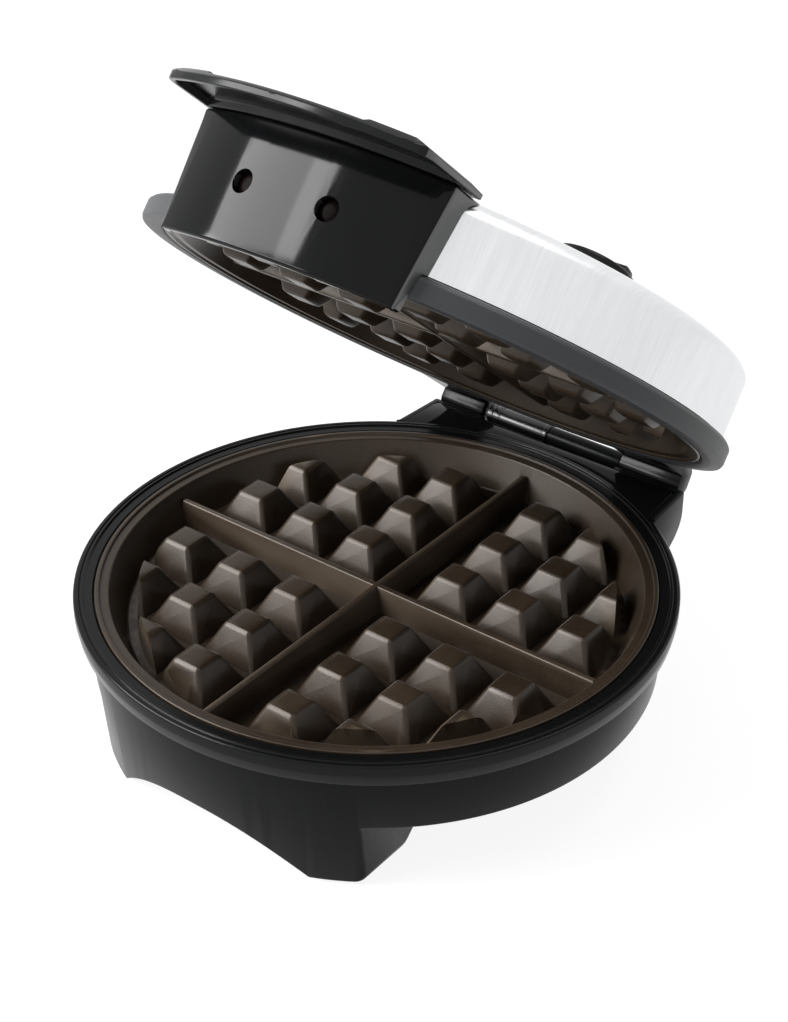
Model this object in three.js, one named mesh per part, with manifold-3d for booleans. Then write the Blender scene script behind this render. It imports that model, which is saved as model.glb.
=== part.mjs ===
// Belgian waffle maker: a round base on moulded feet, two studded plates and a hinged steel lid.
// Millimetres, +Z up, front at -Y. The origin is on the table, under the middle of the lower plate.
import * as THREE from "three";
import { mergeVertices } from "three/addons/utils/BufferGeometryUtils.js";
import Module from "manifold-3d";

const wasm = await Module();
wasm.setup();

// Shared values
const gap = 0.3;
const overrun = 2;
const roundSteps = 48;
const innerSteps = 32;
const smallSteps = 16;
const tinySteps = 8;

// Cooking plates, measured from the plane where the two halves meet
const plateRadius = 96.8;
const plateSink = 0.3;
const beadWidth = 1.6;
const beadHeight = 0.9;
const flangeThickness = 2;
const flangeWidth = 4.8;
const pocketDepth = 13;
const pocketDraft = 5.4;
const pocketFillet = 1.2;
const panWall = 2.5;
const plateFloor = 3;
const studPitch = 25.2;
const firstStud = 20;
const studBase = 22.6;
const studTip = 11;
const studHeight = 11.5;
const studInset = 8.5;
const studsPerSide = 3;
const ridgeBase = 5.2;
const ridgeTip = 2.2;
const ridgeHeight = 9.6;

// Heating pack behind each plate
const elementInset = 30;
const elementRadius = 3;
const elementSides = 6;
const elementBends = 28;
const elementLegSpread = 9;
const elementLegInset = 12;
const clampClearance = 0.8;
const clampThickness = 1;
const clampWidth = 8;
const clampFlange = 9;
const clampAngles = [-Math.PI / 2, Math.PI / 6, (5 * Math.PI) / 6];
const plateScrewRadius = 1.3;
const plateScrewLength = 2;
const plateScrewHeadRadius = 2.6;
const plateScrewHeadHeight = 1.4;
const reflectorThickness = 0.6;
const reflectorInset = 14;
const reflectorSlope = 7;
const reflectorNotch = 15;
const centreBossRadius = 5;
const lugLength = 12;
const lugOuterInset = 0.6;
const lugWidth = 10;
const lugThickness = 3;
const lugRoot = 1;
const lugTurn = THREE.MathUtils.degToRad(80);
const fuseRadius = 2;
const fuseLength = 14;
const fuseInset = 30;
const fuseClipWidth = 5;
const fuseClipThickness = 0.8;
const fuseClipFoot = 4;

// Rim ring and rear deck of the base
const lidGap = 0.8;
const rimWidth = 7.2;
const rimDepth = 7.95;
const rimUndercut = 0.7;
const rimBead = 1;
const rimSideHeight = 3;
const rimBandDrop = 0.6;
const rimStepInset = 3.7;
const rimStepWidth = 0.4;
const rimGrooveInset = 2.1;
const rimGrooveHalf = 0.4;
const rimGrooveDepth = 0.5;
const deckThickness = 6;

// Base housing
const feetHeight = 25.7;
const bottomCoverThickness = 1.6;
const underPackClearance = 2.1;
const rimOverhang = 3.7;
const drumTaper = 4.1;
const housingWall = 2.4;
const footSideInset = 44.1;
const footWidth = 16.2;
const archHeight = 17.3;
const archPower = 2.2;
const archSteps = 16;
const footBackInset = 37.2;
const footBackSlope = 0.96;
const footCorner = 3.5;
const cornerSteps = 5;
const padRadius = 6.4;
const padHeight = 2.6;
const padProud = 1;
const padInset = 26.8;
const bossFrontHalfWidth = 58.8;
const bossRearHalfWidth = 56.6;
const bossFrontInset = 24;
const bossRoundLength = 24;
const bossRoundHeight = 14.4;
const bossFaceHeight = 9.2;
const bossRoundSteps = 7;
const bossHingeGap = 0.5;
const coverScrewInset = 3.5;
const coverPostRadius = 4.8;
const coverPostHeight = 5.8;
const coverScrewRadius = 1.4;
const coverScrewHeadRadius = 2.6;
const coverScrewHeadHeight = 1.6;
const coverScrewLength = 7.5;
const coverScrewCount = 4;
const ventLength = 34;
const ventWidth = 4;
const ventPitch = 10;
const ventCount = 5;
const inletRadius = 5.2;
const inletBore = 3.4;
const inletFlange = 6.2;
const inletFlangeThickness = 1.4;
const inletBushDepth = 6;
const inletDrop = 12;
const terminalBlockLength = 26;
const terminalBlockDepth = 8;
const terminalBlockHeight = 7;
const terminalBlockSide = 30;
const terminalBlockInset = 14;
const terminalPlinthHeight = 3;

// Hinge
const hingeOverhang = 11.5;
const hingeDrop = 1.34;
const knuckleRadius = 4.1;
const leftKnuckleOuter = 55;
const leftKnuckleInner = 35.2;
const baseKnuckleLeft = 33;
const baseKnuckleRight = 27;
const tunnelLeft = 5.5;
const tunnelRadius = 3.5;
const rightKnuckleOuter = 53.3;
const knuckleEndWall = 2.4;
const knuckleWebThickness = 2.4;
const knuckleWebDrop = 1.5;
const pinRadius = 1.6;
const tubePinRadius = 2;
const tubePinBore = 1.3;
const pinEndPlay = 1;
const armInset = 13.9;
const armLift = 0.4;
const armHeight = 7.6;
const armBackHeight = 4;
const armBackReach = 3.2;

// Lid ring and shell
const lidOpenAngle = THREE.MathUtils.degToRad(40.62);
const ringOverhang = 0.7;
const ringLowerInset = 3.6;
const ringLowerRise = 0.4;
const ringLowerBevel = 0.7;
const ringSideRise = 1.5;
const ringSideTop = 6.2;
const ringShoulderRise = 7.4;
const ringShoulderInset = 1.1;
const ringHeight = 8;
const ringBodyWidth = 7.8;
const ringLipHeight = 4;
const ringLipWidth = 2;
const shellInset = 3;
const shellThickness = 1.2;
const shellTaper = 0.2;
const shellWallHeight = 20.1;
const shellShoulderWidth = 13;
const shellShoulderHeight = 6.6;
const shellShoulderSteps = 4;
const crownRise = 6;
const crownSteps = 4;
const shellWindowMargin = 4;
const shellWindowHeight = 14;
const shellWindowDepth = 10;

// Front housing, handle cover and pilot lamps
const boxOverhang = 5.2;
const boxWall = 2.4;
const boxBottomHalfWidth = 44.4;
const boxTopHalfWidth = 47.6;
const boxDrop = 5.3;
const boxHeight = 39.6;
const boxBackInset = 21;
const boxRimClearance = 1;
const boxScrewInset = 6.5;
const boxScrewRise = 24;
const boxBossRadius = 3.2;
const boxScrewRadius = 1.2;
const boxScrewHeadRadius = 2.5;
const boxScrewHeadHeight = 1.6;
const coverHalfWidth = 49;
const coverThickness = 4.5;
const coverLip = 1.2;
const coverBevel = 3.2;
const coverSideDrop = 2.2;
const coverSideBevel = 6;
const coverReach = 22.8;
const coverFrontArc = 108;
const coverCorner = 5;
const coverArcSteps = 14;
const coverRearInset = 15;
const coverRearDrop = 2.6;
const coverSlopeLength = 28;
const thumbHalfWidth = 28.5;
const thumbDepth = 1;
const thumbLength = 26;
const gripInset = 2.5;
const gripDepth = 2.3;
const gripSideWall = 2.2;
const lampAngle = THREE.MathUtils.degToRad(8.4);
const lampRise = 14.5;
const lampHoleRadius = 4;
const lensRecess = 1.2;
const lensFlangeRadius = 4.8;
const lensFlangeThickness = 1.1;
const lampRadius = 2;
const lampLength = 11;
const lampHolderHalfWidth = 24;
const lampHolderThickness = 2;
const lampHolderHeight = 9;

// Thermostat and control dial, on an axis square to the lid's crown
const dialEdgeInset = 7.3;
const dialBezelRadius = 19;
const dialBezelTopRadius = 18;
const dialBezelHeight = 11;
const dialBezelSkirt = 5;
const dialBezelFloor = 1.5;
const dialRadius = 16.4;
const dialHeight = 13;
const dialChamfer = 1.2;
const dialCrown = 1.2;
const dialCrownShare = 0.75;
const dialGripWidth = 8;
const dialGripTopWidth = 5;
const dialGripHeight = 2.5;
const dialGripInset = 1.6;
const dialSocketDepth = 7;
const shaftRadius = 3;
const shaftFlatInset = 0.8;
const shaftFoot = 6;
const thermostatRadius = 11;
const thermostatHeight = 7;
const thermostatNeckRadius = 4.7;
const thermostatNeckRise = 1;

// Heights and radii that follow from the sizes above
const pocketRadius = plateRadius - flangeWidth;
const studReach = pocketRadius - studInset;
const elementRing = pocketRadius - elementInset;
const elementLegReach = pocketRadius - elementLegInset;
const fuseOffset = elementRing - fuseInset;
const reflectorRadius = pocketRadius - reflectorInset;
const reflectorFlat = reflectorRadius - reflectorSlope;
const beadDepth = lidGap / 2 + plateSink;
const flangeDepth = beadDepth + beadHeight;
const flangeBack = flangeDepth + flangeThickness;
const pocketFloorDepth = flangeDepth + pocketDepth;
const plateBack = pocketFloorDepth + plateFloor;
const elementDepth = plateBack + gap + elementRadius;
const clampDepth = elementDepth + elementRadius + gap + clampThickness;
const packDepth = clampDepth + gap + reflectorThickness;
const panRadius = pocketRadius + panWall;
const wellRadius = plateRadius + gap;
const lugInner = pocketRadius - lugLength;
const lugOuter = wellRadius - lugOuterInset;
const ledgeRadius = panRadius + gap;
const rimRadius = plateRadius + rimWidth;
const drumTopRadius = rimRadius - rimOverhang;
const footHalfWidth = drumTopRadius - footSideInset;
const archHalfWidth = footHalfWidth - footWidth;
const bottomCoverTop = feetHeight + gap + bottomCoverThickness;
const partingHeight = bottomCoverTop + underPackClearance + packDepth;
const rimTop = partingHeight - lidGap / 2;
const rimUnderside = rimTop - rimDepth;
const ringBottom = partingHeight + lidGap / 2;
const hingeOffset = rimRadius + hingeOverhang;
const hingeHeight = rimTop - hingeDrop;
const bossFront = rimRadius - bossFrontInset;
const bossRear = hingeOffset - knuckleRadius - bossHingeGap;
const ringRadius = rimRadius + ringOverhang;
const shellRadius = rimRadius - shellInset;
const shellBottom = ringBottom + ringHeight + gap;
const shoulderBottom = shellBottom + shellWallHeight;
const boxBack = shellRadius - boxBackInset;
const coverRear = shellRadius - coverRearInset;
const crownRadius = shellRadius - shellTaper - shellShoulderWidth;
const dialOffset = crownRadius - dialEdgeInset;
const crownEdge = shoulderBottom + shellShoulderHeight;
const crownTop = crownEdge + crownRise;
const shellWindowHalfWidth = lampHolderHalfWidth + shellWindowMargin;
const boxScrewAngle = Math.asin((shellWindowHalfWidth + boxScrewInset) / shellRadius);
const boxRadius = rimRadius + boxOverhang;
const boxBottom = ringBottom - boxDrop;
const boxTop = boxBottom + boxHeight;
const coverBottom = boxTop + gap;
const coverTop = coverBottom + coverThickness;
const dialTilt = Math.atan((2 * crownRise * dialOffset) / crownRadius ** 2);

// Materials
const finish = (color, roughness, metalness) =>
  new THREE.MeshStandardMaterial({ color, roughness, metalness });
const glossBlack = finish(0x141517, 0.16, 0);
const satinBlack = finish(0x2b2d30, 0.42, 0);
const darkGrey = finish(0x3a3c3f, 0.5, 0);
const brushedSteel = finish(0xc9cbcd, 0.34, 1);
const nonStick = finish(0x1d1916, 0.38, 0.3);
const elementSteel = finish(0x6b6763, 0.45, 1);
const brightSheet = finish(0xb9bcc0, 0.3, 1);
const zincSteel = finish(0x9ea1a4, 0.35, 1);
const blackRubber = finish(0x151515, 0.85, 0);
const ceramic = finish(0xd9d4c8, 0.7, 0);
const lampGlass = finish(0x1c0d0b, 0.15, 0);

// Solids: a closed geometry becomes a solid that can be joined and cut, and goes back to a geometry
function signedVolume(position, index) {
  const corners = [new THREE.Vector3(), new THREE.Vector3(), new THREE.Vector3()];
  let sum = 0;
  for (let i = 0; i < index.count; i += 3) {
    corners.forEach((corner, k) => corner.fromBufferAttribute(position, index.getX(i + k)));
    sum += corners[0].dot(corners[1].cross(corners[2]));
  }
  return sum;
}

function solidFrom(geometry) {
  const bare = geometry.clone();
  bare.deleteAttribute("normal");
  bare.deleteAttribute("uv");
  const merged = mergeVertices(bare);
  const position = merged.getAttribute("position");
  const triVerts = new Uint32Array(merged.index.array);
  if (signedVolume(position, merged.index) < 0) triVerts.reverse();
  return new wasm.Manifold(
    new wasm.Mesh({ numProp: 3, vertProperties: new Float32Array(position.array), triVerts }),
  );
}

function geometryFrom(solid) {
  const mesh = solid.getMesh();
  const geometry = new THREE.BufferGeometry();
  geometry.setAttribute("position", new THREE.BufferAttribute(mesh.vertProperties, 3));
  geometry.setIndex(new THREE.BufferAttribute(mesh.triVerts, 1));
  const flat = geometry.toNonIndexed();
  flat.computeVertexNormals();
  return flat;
}

const join = (solids) => solids.reduce((sum, solid) => sum.add(solid));
const cut = (solid, ...tools) => tools.reduce((rest, tool) => rest.subtract(tool), solid);
const common = (...solids) => solids.reduce((sum, solid) => sum.intersect(solid));

// A profile of [radius, height] points turned about +Z. One that stays off the axis closes on itself.
function turned(profile, steps = roundSteps) {
  const onAxis = profile[0][0] === 0;
  const points = (onAxis ? profile : [...profile, profile[0]]).map(([r, z]) => new THREE.Vector2(r, z));
  return new THREE.LatheGeometry(points, steps).rotateX(Math.PI / 2);
}

// The same turned about the X or the Y axis, with the profile's height running along that axis
const alongX = (geometry) => geometry.rotateY(Math.PI / 2);
const alongY = (geometry) => geometry.rotateX(-Math.PI / 2);

// An outline pushed from low to high along an axis: [x, y] along z, [x, z] along y or [y, z] along x
function pushed(outline, axis, low, high) {
  const shape = new THREE.Shape(outline.map(([a, b]) => new THREE.Vector2(a, b)));
  const geometry = new THREE.ExtrudeGeometry(shape, { depth: high - low, bevelEnabled: false });
  const unit = {
    x: new THREE.Vector3(1, 0, 0),
    y: new THREE.Vector3(0, 1, 0),
    z: new THREE.Vector3(0, 0, 1),
  };
  const [first, second] = { z: [unit.x, unit.y], y: [unit.x, unit.z], x: [unit.y, unit.z] }[axis];
  const place = new THREE.Matrix4().makeBasis(first, second, unit[axis]);
  place.setPosition(unit[axis].clone().multiplyScalar(low));
  return geometry.applyMatrix4(place);
}

// A block between two corners
function block([x0, y0, z0], [x1, y1, z1]) {
  const geometry = new THREE.BoxGeometry(x1 - x0, y1 - y0, z1 - z0);
  return geometry.translate((x0 + x1) / 2, (y0 + y1) / 2, (z0 + z1) / 2);
}

const disc = (radius, low, high, steps = smallSteps) =>
  turned([[0, low], [radius, low], [radius, high], [0, high]], steps);

// Places a named piece in its group
function place(group, name, geometry, material) {
  const solid = geometry.isBufferGeometry ? solidFrom(geometry) : geometry;
  const mesh = new THREE.Mesh(geometryFrom(solid), material);
  mesh.name = name;
  group.add(mesh);
  return mesh;
}

// A pan-head screw with its head below the origin and its shank pointing up
const screw = (headRadius, headHeight, shankRadius, length) =>
  turned(
    [
      [0, -headHeight],
      [headRadius, -headHeight],
      [headRadius, 0],
      [shankRadius, 0],
      [shankRadius, length],
      [0, length],
    ],
    tinySteps,
  );

// Cooking plate, with its food side up and the plane where the halves meet at height 0
function plateBlank() {
  return turned([
    [0, -plateBack],
    [pocketRadius - pocketDraft, -plateBack],
    [panRadius - pocketDraft / 2, -(flangeBack + plateBack) / 2],
    [panRadius, -flangeBack],
    [plateRadius, -flangeBack],
    [plateRadius, -beadDepth - beadHeight / 2],
    [plateRadius - beadWidth / 3, -beadDepth],
    [plateRadius - (2 * beadWidth) / 3, -beadDepth],
    [plateRadius - beadWidth, -flangeDepth],
    [pocketRadius, -flangeDepth],
    [pocketRadius - pocketDraft, -pocketFloorDepth + pocketFillet],
    [pocketRadius - pocketDraft - pocketFillet, -pocketFloorDepth],
    [0, -pocketFloorDepth],
  ]);
}

function studAt(x, y) {
  const sunk = plateFloor / 2;
  const spread = ((studBase - studTip) / 2) * (sunk / studHeight);
  const low = studBase / 2 + spread;
  const stud = new THREE.CylinderGeometry((studTip / 2) * Math.SQRT2, low * Math.SQRT2, studHeight + sunk, 4);
  stud.rotateY(Math.PI / 4).rotateX(Math.PI / 2);
  return stud.translate(x, y, -pocketFloorDepth + (studHeight - sunk) / 2);
}

function studs() {
  const places = Array.from({ length: studsPerSide }, (_, i) => firstStud + i * studPitch);
  const solids = [];
  for (const x of places)
    for (const y of places) {
      if (Math.hypot(x, y) - studTip / 2 > studReach) continue;
      for (const [sx, sy] of [[1, 1], [1, -1], [-1, 1], [-1, -1]])
        solids.push(solidFrom(studAt(sx * x, sy * y)));
    }
  const limit = turned([
    [0, -plateBack],
    [studReach, -plateBack],
    [studReach - pocketFillet, 0],
    [0, 0],
  ]);
  return common(join(solids), solidFrom(limit));
}

function ridges() {
  const sunk = plateFloor / 2;
  const outline = [
    [-ridgeBase / 2, -pocketFloorDepth - sunk],
    [ridgeBase / 2, -pocketFloorDepth - sunk],
    [ridgeTip / 2, -pocketFloorDepth + ridgeHeight],
    [-ridgeTip / 2, -pocketFloorDepth + ridgeHeight],
  ];
  const reach = pocketRadius - pocketDraft / 2;
  const one = solidFrom(pushed(outline, "y", -reach, reach));
  const other = solidFrom(pushed(outline, "x", -reach, reach));
  const limit = turned([
    [0, -plateBack],
    [pocketRadius - pocketDraft, -plateBack],
    [pocketRadius, -flangeDepth],
    [0, -flangeDepth],
  ]);
  return common(one.add(other), solidFrom(limit));
}

const clampScrewRadius = elementRing + elementRadius + clampClearance + clampThickness + clampFlange / 2;

const lugScrewRadius = (lugInner + pocketRadius - pocketDraft) / 2;
const lugAngles = clampAngles.map((angle) => angle + lugTurn);
const bossFoot = -packDepth + reflectorThickness + gap;

function screwHole(radius, angle, top) {
  const hole = disc(plateScrewRadius + gap, -packDepth - overrun, top, tinySteps);
  return solidFrom(hole.translate(radius, 0, 0).rotateZ(angle));
}

function cookingPlate() {
  const depth = -plateBack + plateScrewLength;
  const boss = solidFrom(disc(centreBossRadius, bossFoot, depth));
  const holes = [
    screwHole(0, 0, bossFoot + plateScrewLength),
    ...clampAngles.map((angle) => screwHole(clampScrewRadius, angle, depth)),
    ...lugAngles.map((angle) => screwHole(lugScrewRadius, angle, depth)),
  ];
  return cut(join([solidFrom(plateBlank()), studs(), ridges(), boss]), ...holes);
}

// Lugs inside a rim that the plate is screwed to from behind, in the plate's own position
function plateLugs() {
  const foot = -plateBack - gap;
  const root = -flangeBack - gap - lugRoot;
  const ring = solidFrom(
    turned([
      [lugInner, foot - lugThickness],
      [lugOuter, foot - lugThickness],
      [lugOuter, root],
      [ledgeRadius, root],
      [ledgeRadius, foot],
      [lugInner, foot],
    ]),
  );
  return lugAngles.map((angle) => {
    const sector = block([0, -lugWidth / 2, -packDepth], [rimRadius, lugWidth / 2, 0]);
    return cut(common(ring, solidFrom(sector.rotateZ(angle))), screwHole(lugScrewRadius, angle, root));
  });
}

// Tubular heating element: an open ring with its two legs side by side at the back
function heatingElement() {
  const start = Math.asin(elementLegSpread / elementRing);
  const points = [new THREE.Vector3(-elementLegSpread, elementLegReach, 0)];
  for (let i = 0; i <= elementBends; i += 1) {
    const angle = Math.PI / 2 + start + ((Math.PI - start) * 2 * i) / elementBends;
    points.push(new THREE.Vector3(elementRing * Math.cos(angle), elementRing * Math.sin(angle), 0));
  }
  points.push(new THREE.Vector3(elementLegSpread, elementLegReach, 0));
  const section = new THREE.Shape();
  for (let i = 0; i < elementSides; i += 1) {
    const angle = ((i + 0.5) * 2 * Math.PI) / elementSides;
    const point = [elementRadius * Math.cos(angle), elementRadius * Math.sin(angle)];
    if (i === 0) section.moveTo(...point);
    else section.lineTo(...point);
  }
  const path = new THREE.CatmullRomCurve3(points);
  const steps = elementBends + 4;
  const tube = new THREE.ExtrudeGeometry(section, { steps, extrudePath: path, bevelEnabled: false });
  return tube.translate(0, 0, -elementDepth);
}

// Saddle clamp that holds the element to the plate, pointing along +X
function elementClamp() {
  const inner = elementRing - elementRadius - clampClearance;
  const outer = elementRing + elementRadius + clampClearance;
  const top = -plateBack - gap;
  const floor = -clampDepth + clampThickness;
  const outline = [
    [inner - clampThickness, top],
    [inner - clampThickness, -clampDepth],
    [outer + clampThickness, -clampDepth],
    [outer + clampThickness, top - clampThickness],
    [outer + clampThickness + clampFlange, top - clampThickness],
    [outer + clampThickness + clampFlange, top],
    [outer, top],
    [outer, floor],
    [inner, floor],
    [inner, top],
  ];
  const saddle = solidFrom(pushed(outline, "y", -clampWidth / 2, clampWidth / 2));
  const hole = disc(plateScrewRadius + gap, top - clampThickness - overrun, top + overrun, tinySteps);
  return cut(saddle, solidFrom(hole.translate(clampScrewRadius, 0, 0)));
}

// Bright sheet dish that throws heat back at the plate, open at the back for the element's legs
function reflector() {
  const floor = -packDepth;
  const lip = -plateBack - gap;
  const dish = turned([
    [0, floor],
    [reflectorFlat, floor],
    [reflectorRadius, lip - reflectorThickness],
    [reflectorRadius, lip],
    [reflectorRadius - reflectorThickness, lip],
    [reflectorFlat - reflectorThickness, floor + reflectorThickness],
    [0, floor + reflectorThickness],
  ], innerSteps);
  const notch = block(
    [-reflectorNotch, elementRing - elementRadius, floor - overrun],
    [reflectorNotch, reflectorRadius + overrun, lip + overrun],
  );
  return cut(solidFrom(dish), solidFrom(notch), screwHole(0, 0, bossFoot));
}

function placePlateScrew(group, name, radius, angle, seat) {
  const length = Math.min(-plateBack, radius ? 0 : bossFoot) - seat + plateScrewLength - gap;
  const fixing = screw(plateScrewHeadRadius, plateScrewHeadHeight, plateScrewRadius, length);
  const mesh = place(group, name, fixing, zincSteel);
  mesh.position.set(radius * Math.cos(angle), radius * Math.sin(angle), seat);
}

// Plate, element, clamps, screws and reflector of one half
function heatingPack(half, positions) {
  const group = new THREE.Group();
  place(group, `${half}_cooking_plate`, cookingPlate(), nonStick);
  place(group, `${half}_heating_element`, heatingElement(), elementSteel);
  place(group, `${half}_heat_reflector`, reflector(), brightSheet);
  clampAngles.forEach((angle, i) => {
    const clamp = place(group, `${half}_element_clamp_${positions[i]}`, elementClamp(), zincSteel);
    clamp.rotation.z = angle;
    const seat = -plateBack - 2 * gap - clampThickness;
    placePlateScrew(group, `${half}_clamp_screw_${positions[i]}`, clampScrewRadius, angle, seat);
  });
  lugAngles.forEach((angle, i) => {
    const seat = -plateBack - 2 * gap - lugThickness;
    placePlateScrew(group, `${half}_plate_screw_${i + 1}`, lugScrewRadius, angle, seat);
  });
  placePlateScrew(group, `${half}_reflector_screw`, 0, 0, -packDepth - gap);
  return group;
}

// Base housing: tapered drum, front apron with two feet, two rear feet and the hinge boss
const drumRadiusAt = (z) => drumTopRadius - (drumTaper * (rimUnderside - z)) / rimUnderside;

const drumCone = (inset, low, high) =>
  turned([[0, low], [drumRadiusAt(low) - inset, low], [drumRadiusAt(high) - inset, high], [0, high]]);

function bossPlan(inset) {
  const corner = bossRearHalfWidth - inset;
  const front = bossFrontHalfWidth - inset;
  return [[-front, bossFront], [front, bossFront], [corner, bossRear - inset], [-corner, bossRear - inset]];
}

function bossSide(inset, top) {
  const faceBottom = rimTop - bossFaceHeight;
  const centre = bossRear - bossRoundLength;
  const outline = [[bossFront, top], [bossRear, top]];
  for (let i = 0; i <= bossRoundSteps; i += 1) {
    const angle = (i * Math.PI) / 2 / bossRoundSteps;
    outline.push([
      centre + (bossRoundLength - inset) * Math.cos(angle),
      faceBottom - (bossRoundHeight - inset) * Math.sin(angle),
    ]);
  }
  if (inset) outline[1][0] -= inset;
  outline.push([bossFront, faceBottom - bossRoundHeight + inset]);
  return outline;
}

function bossSolid(inset, top) {
  const wide = bossFrontHalfWidth + overrun;
  return common(
    solidFrom(pushed(bossPlan(inset), "z", 0, top)),
    solidFrom(pushed(bossSide(inset, top), "x", -wide, wide)),
  );
}

// Front view of the apron and its feet: rounded outer corners and an arch between the feet
function apronOutline() {
  const outline = [[-footHalfWidth, feetHeight + overrun]];
  for (let i = 0; i <= cornerSteps; i += 1) {
    const angle = (i * Math.PI) / 2 / cornerSteps;
    outline.push([
      -footHalfWidth + footCorner * (1 - Math.cos(angle)),
      padProud + footCorner * (1 - Math.sin(angle)),
    ]);
  }
  for (let i = 0; i <= archSteps; i += 1) {
    const share = (2 * i) / archSteps - 1;
    outline.push([share * archHalfWidth, padProud + archHeight * (1 - Math.abs(share) ** archPower)]);
  }
  for (let i = cornerSteps; i >= 0; i -= 1) {
    const angle = (i * Math.PI) / 2 / cornerSteps;
    outline.push([
      footHalfWidth - footCorner * (1 - Math.cos(angle)),
      padProud + footCorner * (1 - Math.sin(angle)),
    ]);
  }
  outline.push([footHalfWidth, feetHeight + overrun]);
  return outline;
}

// Side view of a foot: upright in front and sloping forward at the back
function footSide(inset) {
  const back = -drumTopRadius + drumTaper + footBackInset;
  const low = padProud + (inset ? padHeight + inset : 0);
  const rise = (low - padProud) / footBackSlope - inset * Math.SQRT2;
  return [
    [-rimRadius, low],
    [back + rise, low],
    [back + rise + (feetHeight - low) / footBackSlope, feetHeight],
    [-rimRadius, feetHeight],
  ];
}

function footBlock(side) {
  const solids = [0, housingWall].map((inset) => {
    const low = side < 0 ? -footHalfWidth + inset : archHalfWidth + inset;
    const high = side < 0 ? -archHalfWidth - inset : footHalfWidth - inset;
    return common(
      solidFrom(pushed(footSide(inset), "x", low, high)),
      solidFrom(drumCone(inset, 0, rimUnderside)),
      solidFrom(pushed(apronOutline(), "y", -rimRadius, 0)),
    );
  });
  const pocketTop = solids[1].add(solids[1].translate([0, 0, overrun]));
  return cut(solids[0], pocketTop);
}

const padCentre = [(footHalfWidth + archHalfWidth) / 2, drumTopRadius - drumTaper - padInset];

function padRecess(side) {
  return solidFrom(
    disc(padRadius + gap, 0, padHeight + gap).translate(side * padCentre[0], -padCentre[1], 0),
  );
}

function frontSupports() {
  const shell = cut(
    solidFrom(drumCone(0, 0, feetHeight + overrun)),
    solidFrom(drumCone(housingWall, 0, rimUnderside)),
  );
  const apron = common(shell, solidFrom(pushed(apronOutline(), "y", -rimRadius, 0)));
  return cut(join([apron, footBlock(-1), footBlock(1)]), padRecess(-1), padRecess(1));
}

// The rear feet are the front ones turned to the back, without the apron between them
function rearSupports(front) {
  const high = feetHeight + overrun;
  const between = solidFrom(block([-archHalfWidth, -rimRadius, 0], [archHalfWidth, 0, high]));
  return cut(front, between).rotate([0, 0, 180]);
}

const coverScrewCircle = drumRadiusAt(feetHeight) - housingWall - coverScrewInset;

function aroundDrum(count, radius) {
  return Array.from({ length: count }, (_, i) => {
    const angle = ((i + 0.5) * 2 * Math.PI) / count;
    return [radius * Math.cos(angle), radius * Math.sin(angle)];
  });
}

function coverPost([x, y]) {
  const low = bottomCoverTop + gap;
  const post = disc(coverPostRadius, low, low + coverPostHeight, tinySteps).translate(x, y, 0);
  const pilot = disc(coverScrewRadius + gap, low - overrun, low + coverPostHeight - gap, tinySteps);
  const limit = solidFrom(drumCone(housingWall / 2, 0, rimUnderside));
  return [common(solidFrom(post), limit), solidFrom(pilot.translate(x, y, 0))];
}

const inletHeight = rimTop - inletDrop;
const terminalSeat = rimTop - bossFaceHeight - bossRoundHeight + 2 * housingWall + terminalPlinthHeight;
const terminalBack = bossRear - housingWall - terminalBlockInset / 2;

function terminalPlinth() {
  const half = terminalBlockLength / 2;
  return block(
    [terminalBlockSide - half, terminalBack - terminalBlockDepth, terminalSeat - terminalPlinthHeight * 2],
    [terminalBlockSide + half, terminalBack, terminalSeat],
  );
}

function baseHousing() {
  const high = rimUnderside - gap;
  const bossTop = rimTop - gap;
  const outer = solidFrom(drumCone(0, feetHeight, high)).add(bossSolid(0, bossTop));
  const inner = solidFrom(drumCone(housingWall, feetHeight - overrun, high + overrun)).add(
    bossSolid(housingWall, bossTop + overrun),
  );
  const ringRoom = solidFrom(disc(rimRadius + gap, high, bossTop + overrun, roundSteps));
  const webRoom = block(
    [-baseKnuckleLeft - gap, bossRear - housingWall - overrun, hingeHeight - knuckleRadius],
    [baseKnuckleRight + gap, bossRear + overrun, bossTop + overrun],
  );
  const inletHole = alongY(disc(inletRadius + gap, bossFront, bossRear + overrun));
  const posts = aroundDrum(coverScrewCount, coverScrewCircle).map(coverPost);
  const front = frontSupports();
  const plinth = common(solidFrom(terminalPlinth()), bossSolid(housingWall / 2, bossTop));
  const walls = cut(outer, inner, ringRoom, solidFrom(webRoom));
  const whole = join([walls, front, rearSupports(front), plinth, ...posts.map(([post]) => post)]);
  const pilots = posts.map(([, pilot]) => pilot);
  return cut(whole, solidFrom(inletHole.translate(0, 0, inletHeight)), ...pilots);
}

function bottomCover() {
  const low = feetHeight + gap;
  const plate = turned([
    [0, low],
    [drumRadiusAt(low) - housingWall - gap, low],
    [drumRadiusAt(low) - housingWall - gap, bottomCoverTop],
    [0, bottomCoverTop],
  ]);
  const high = bottomCoverTop + overrun;
  const holes = aroundDrum(coverScrewCount, coverScrewCircle).map(([x, y]) => {
    const hole = disc(coverScrewRadius + gap, low - overrun, high, tinySteps);
    return solidFrom(hole.translate(x, y, 0));
  });
  const vents = Array.from({ length: ventCount }, (_, i) => {
    const y = (i - (ventCount - 1) / 2) * ventPitch;
    return solidFrom(
      block([-ventLength / 2, y - ventWidth / 2, low - overrun], [ventLength / 2, y + ventWidth / 2, high]),
    );
  });
  return cut(solidFrom(plate), ...holes, ...vents);
}

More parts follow.
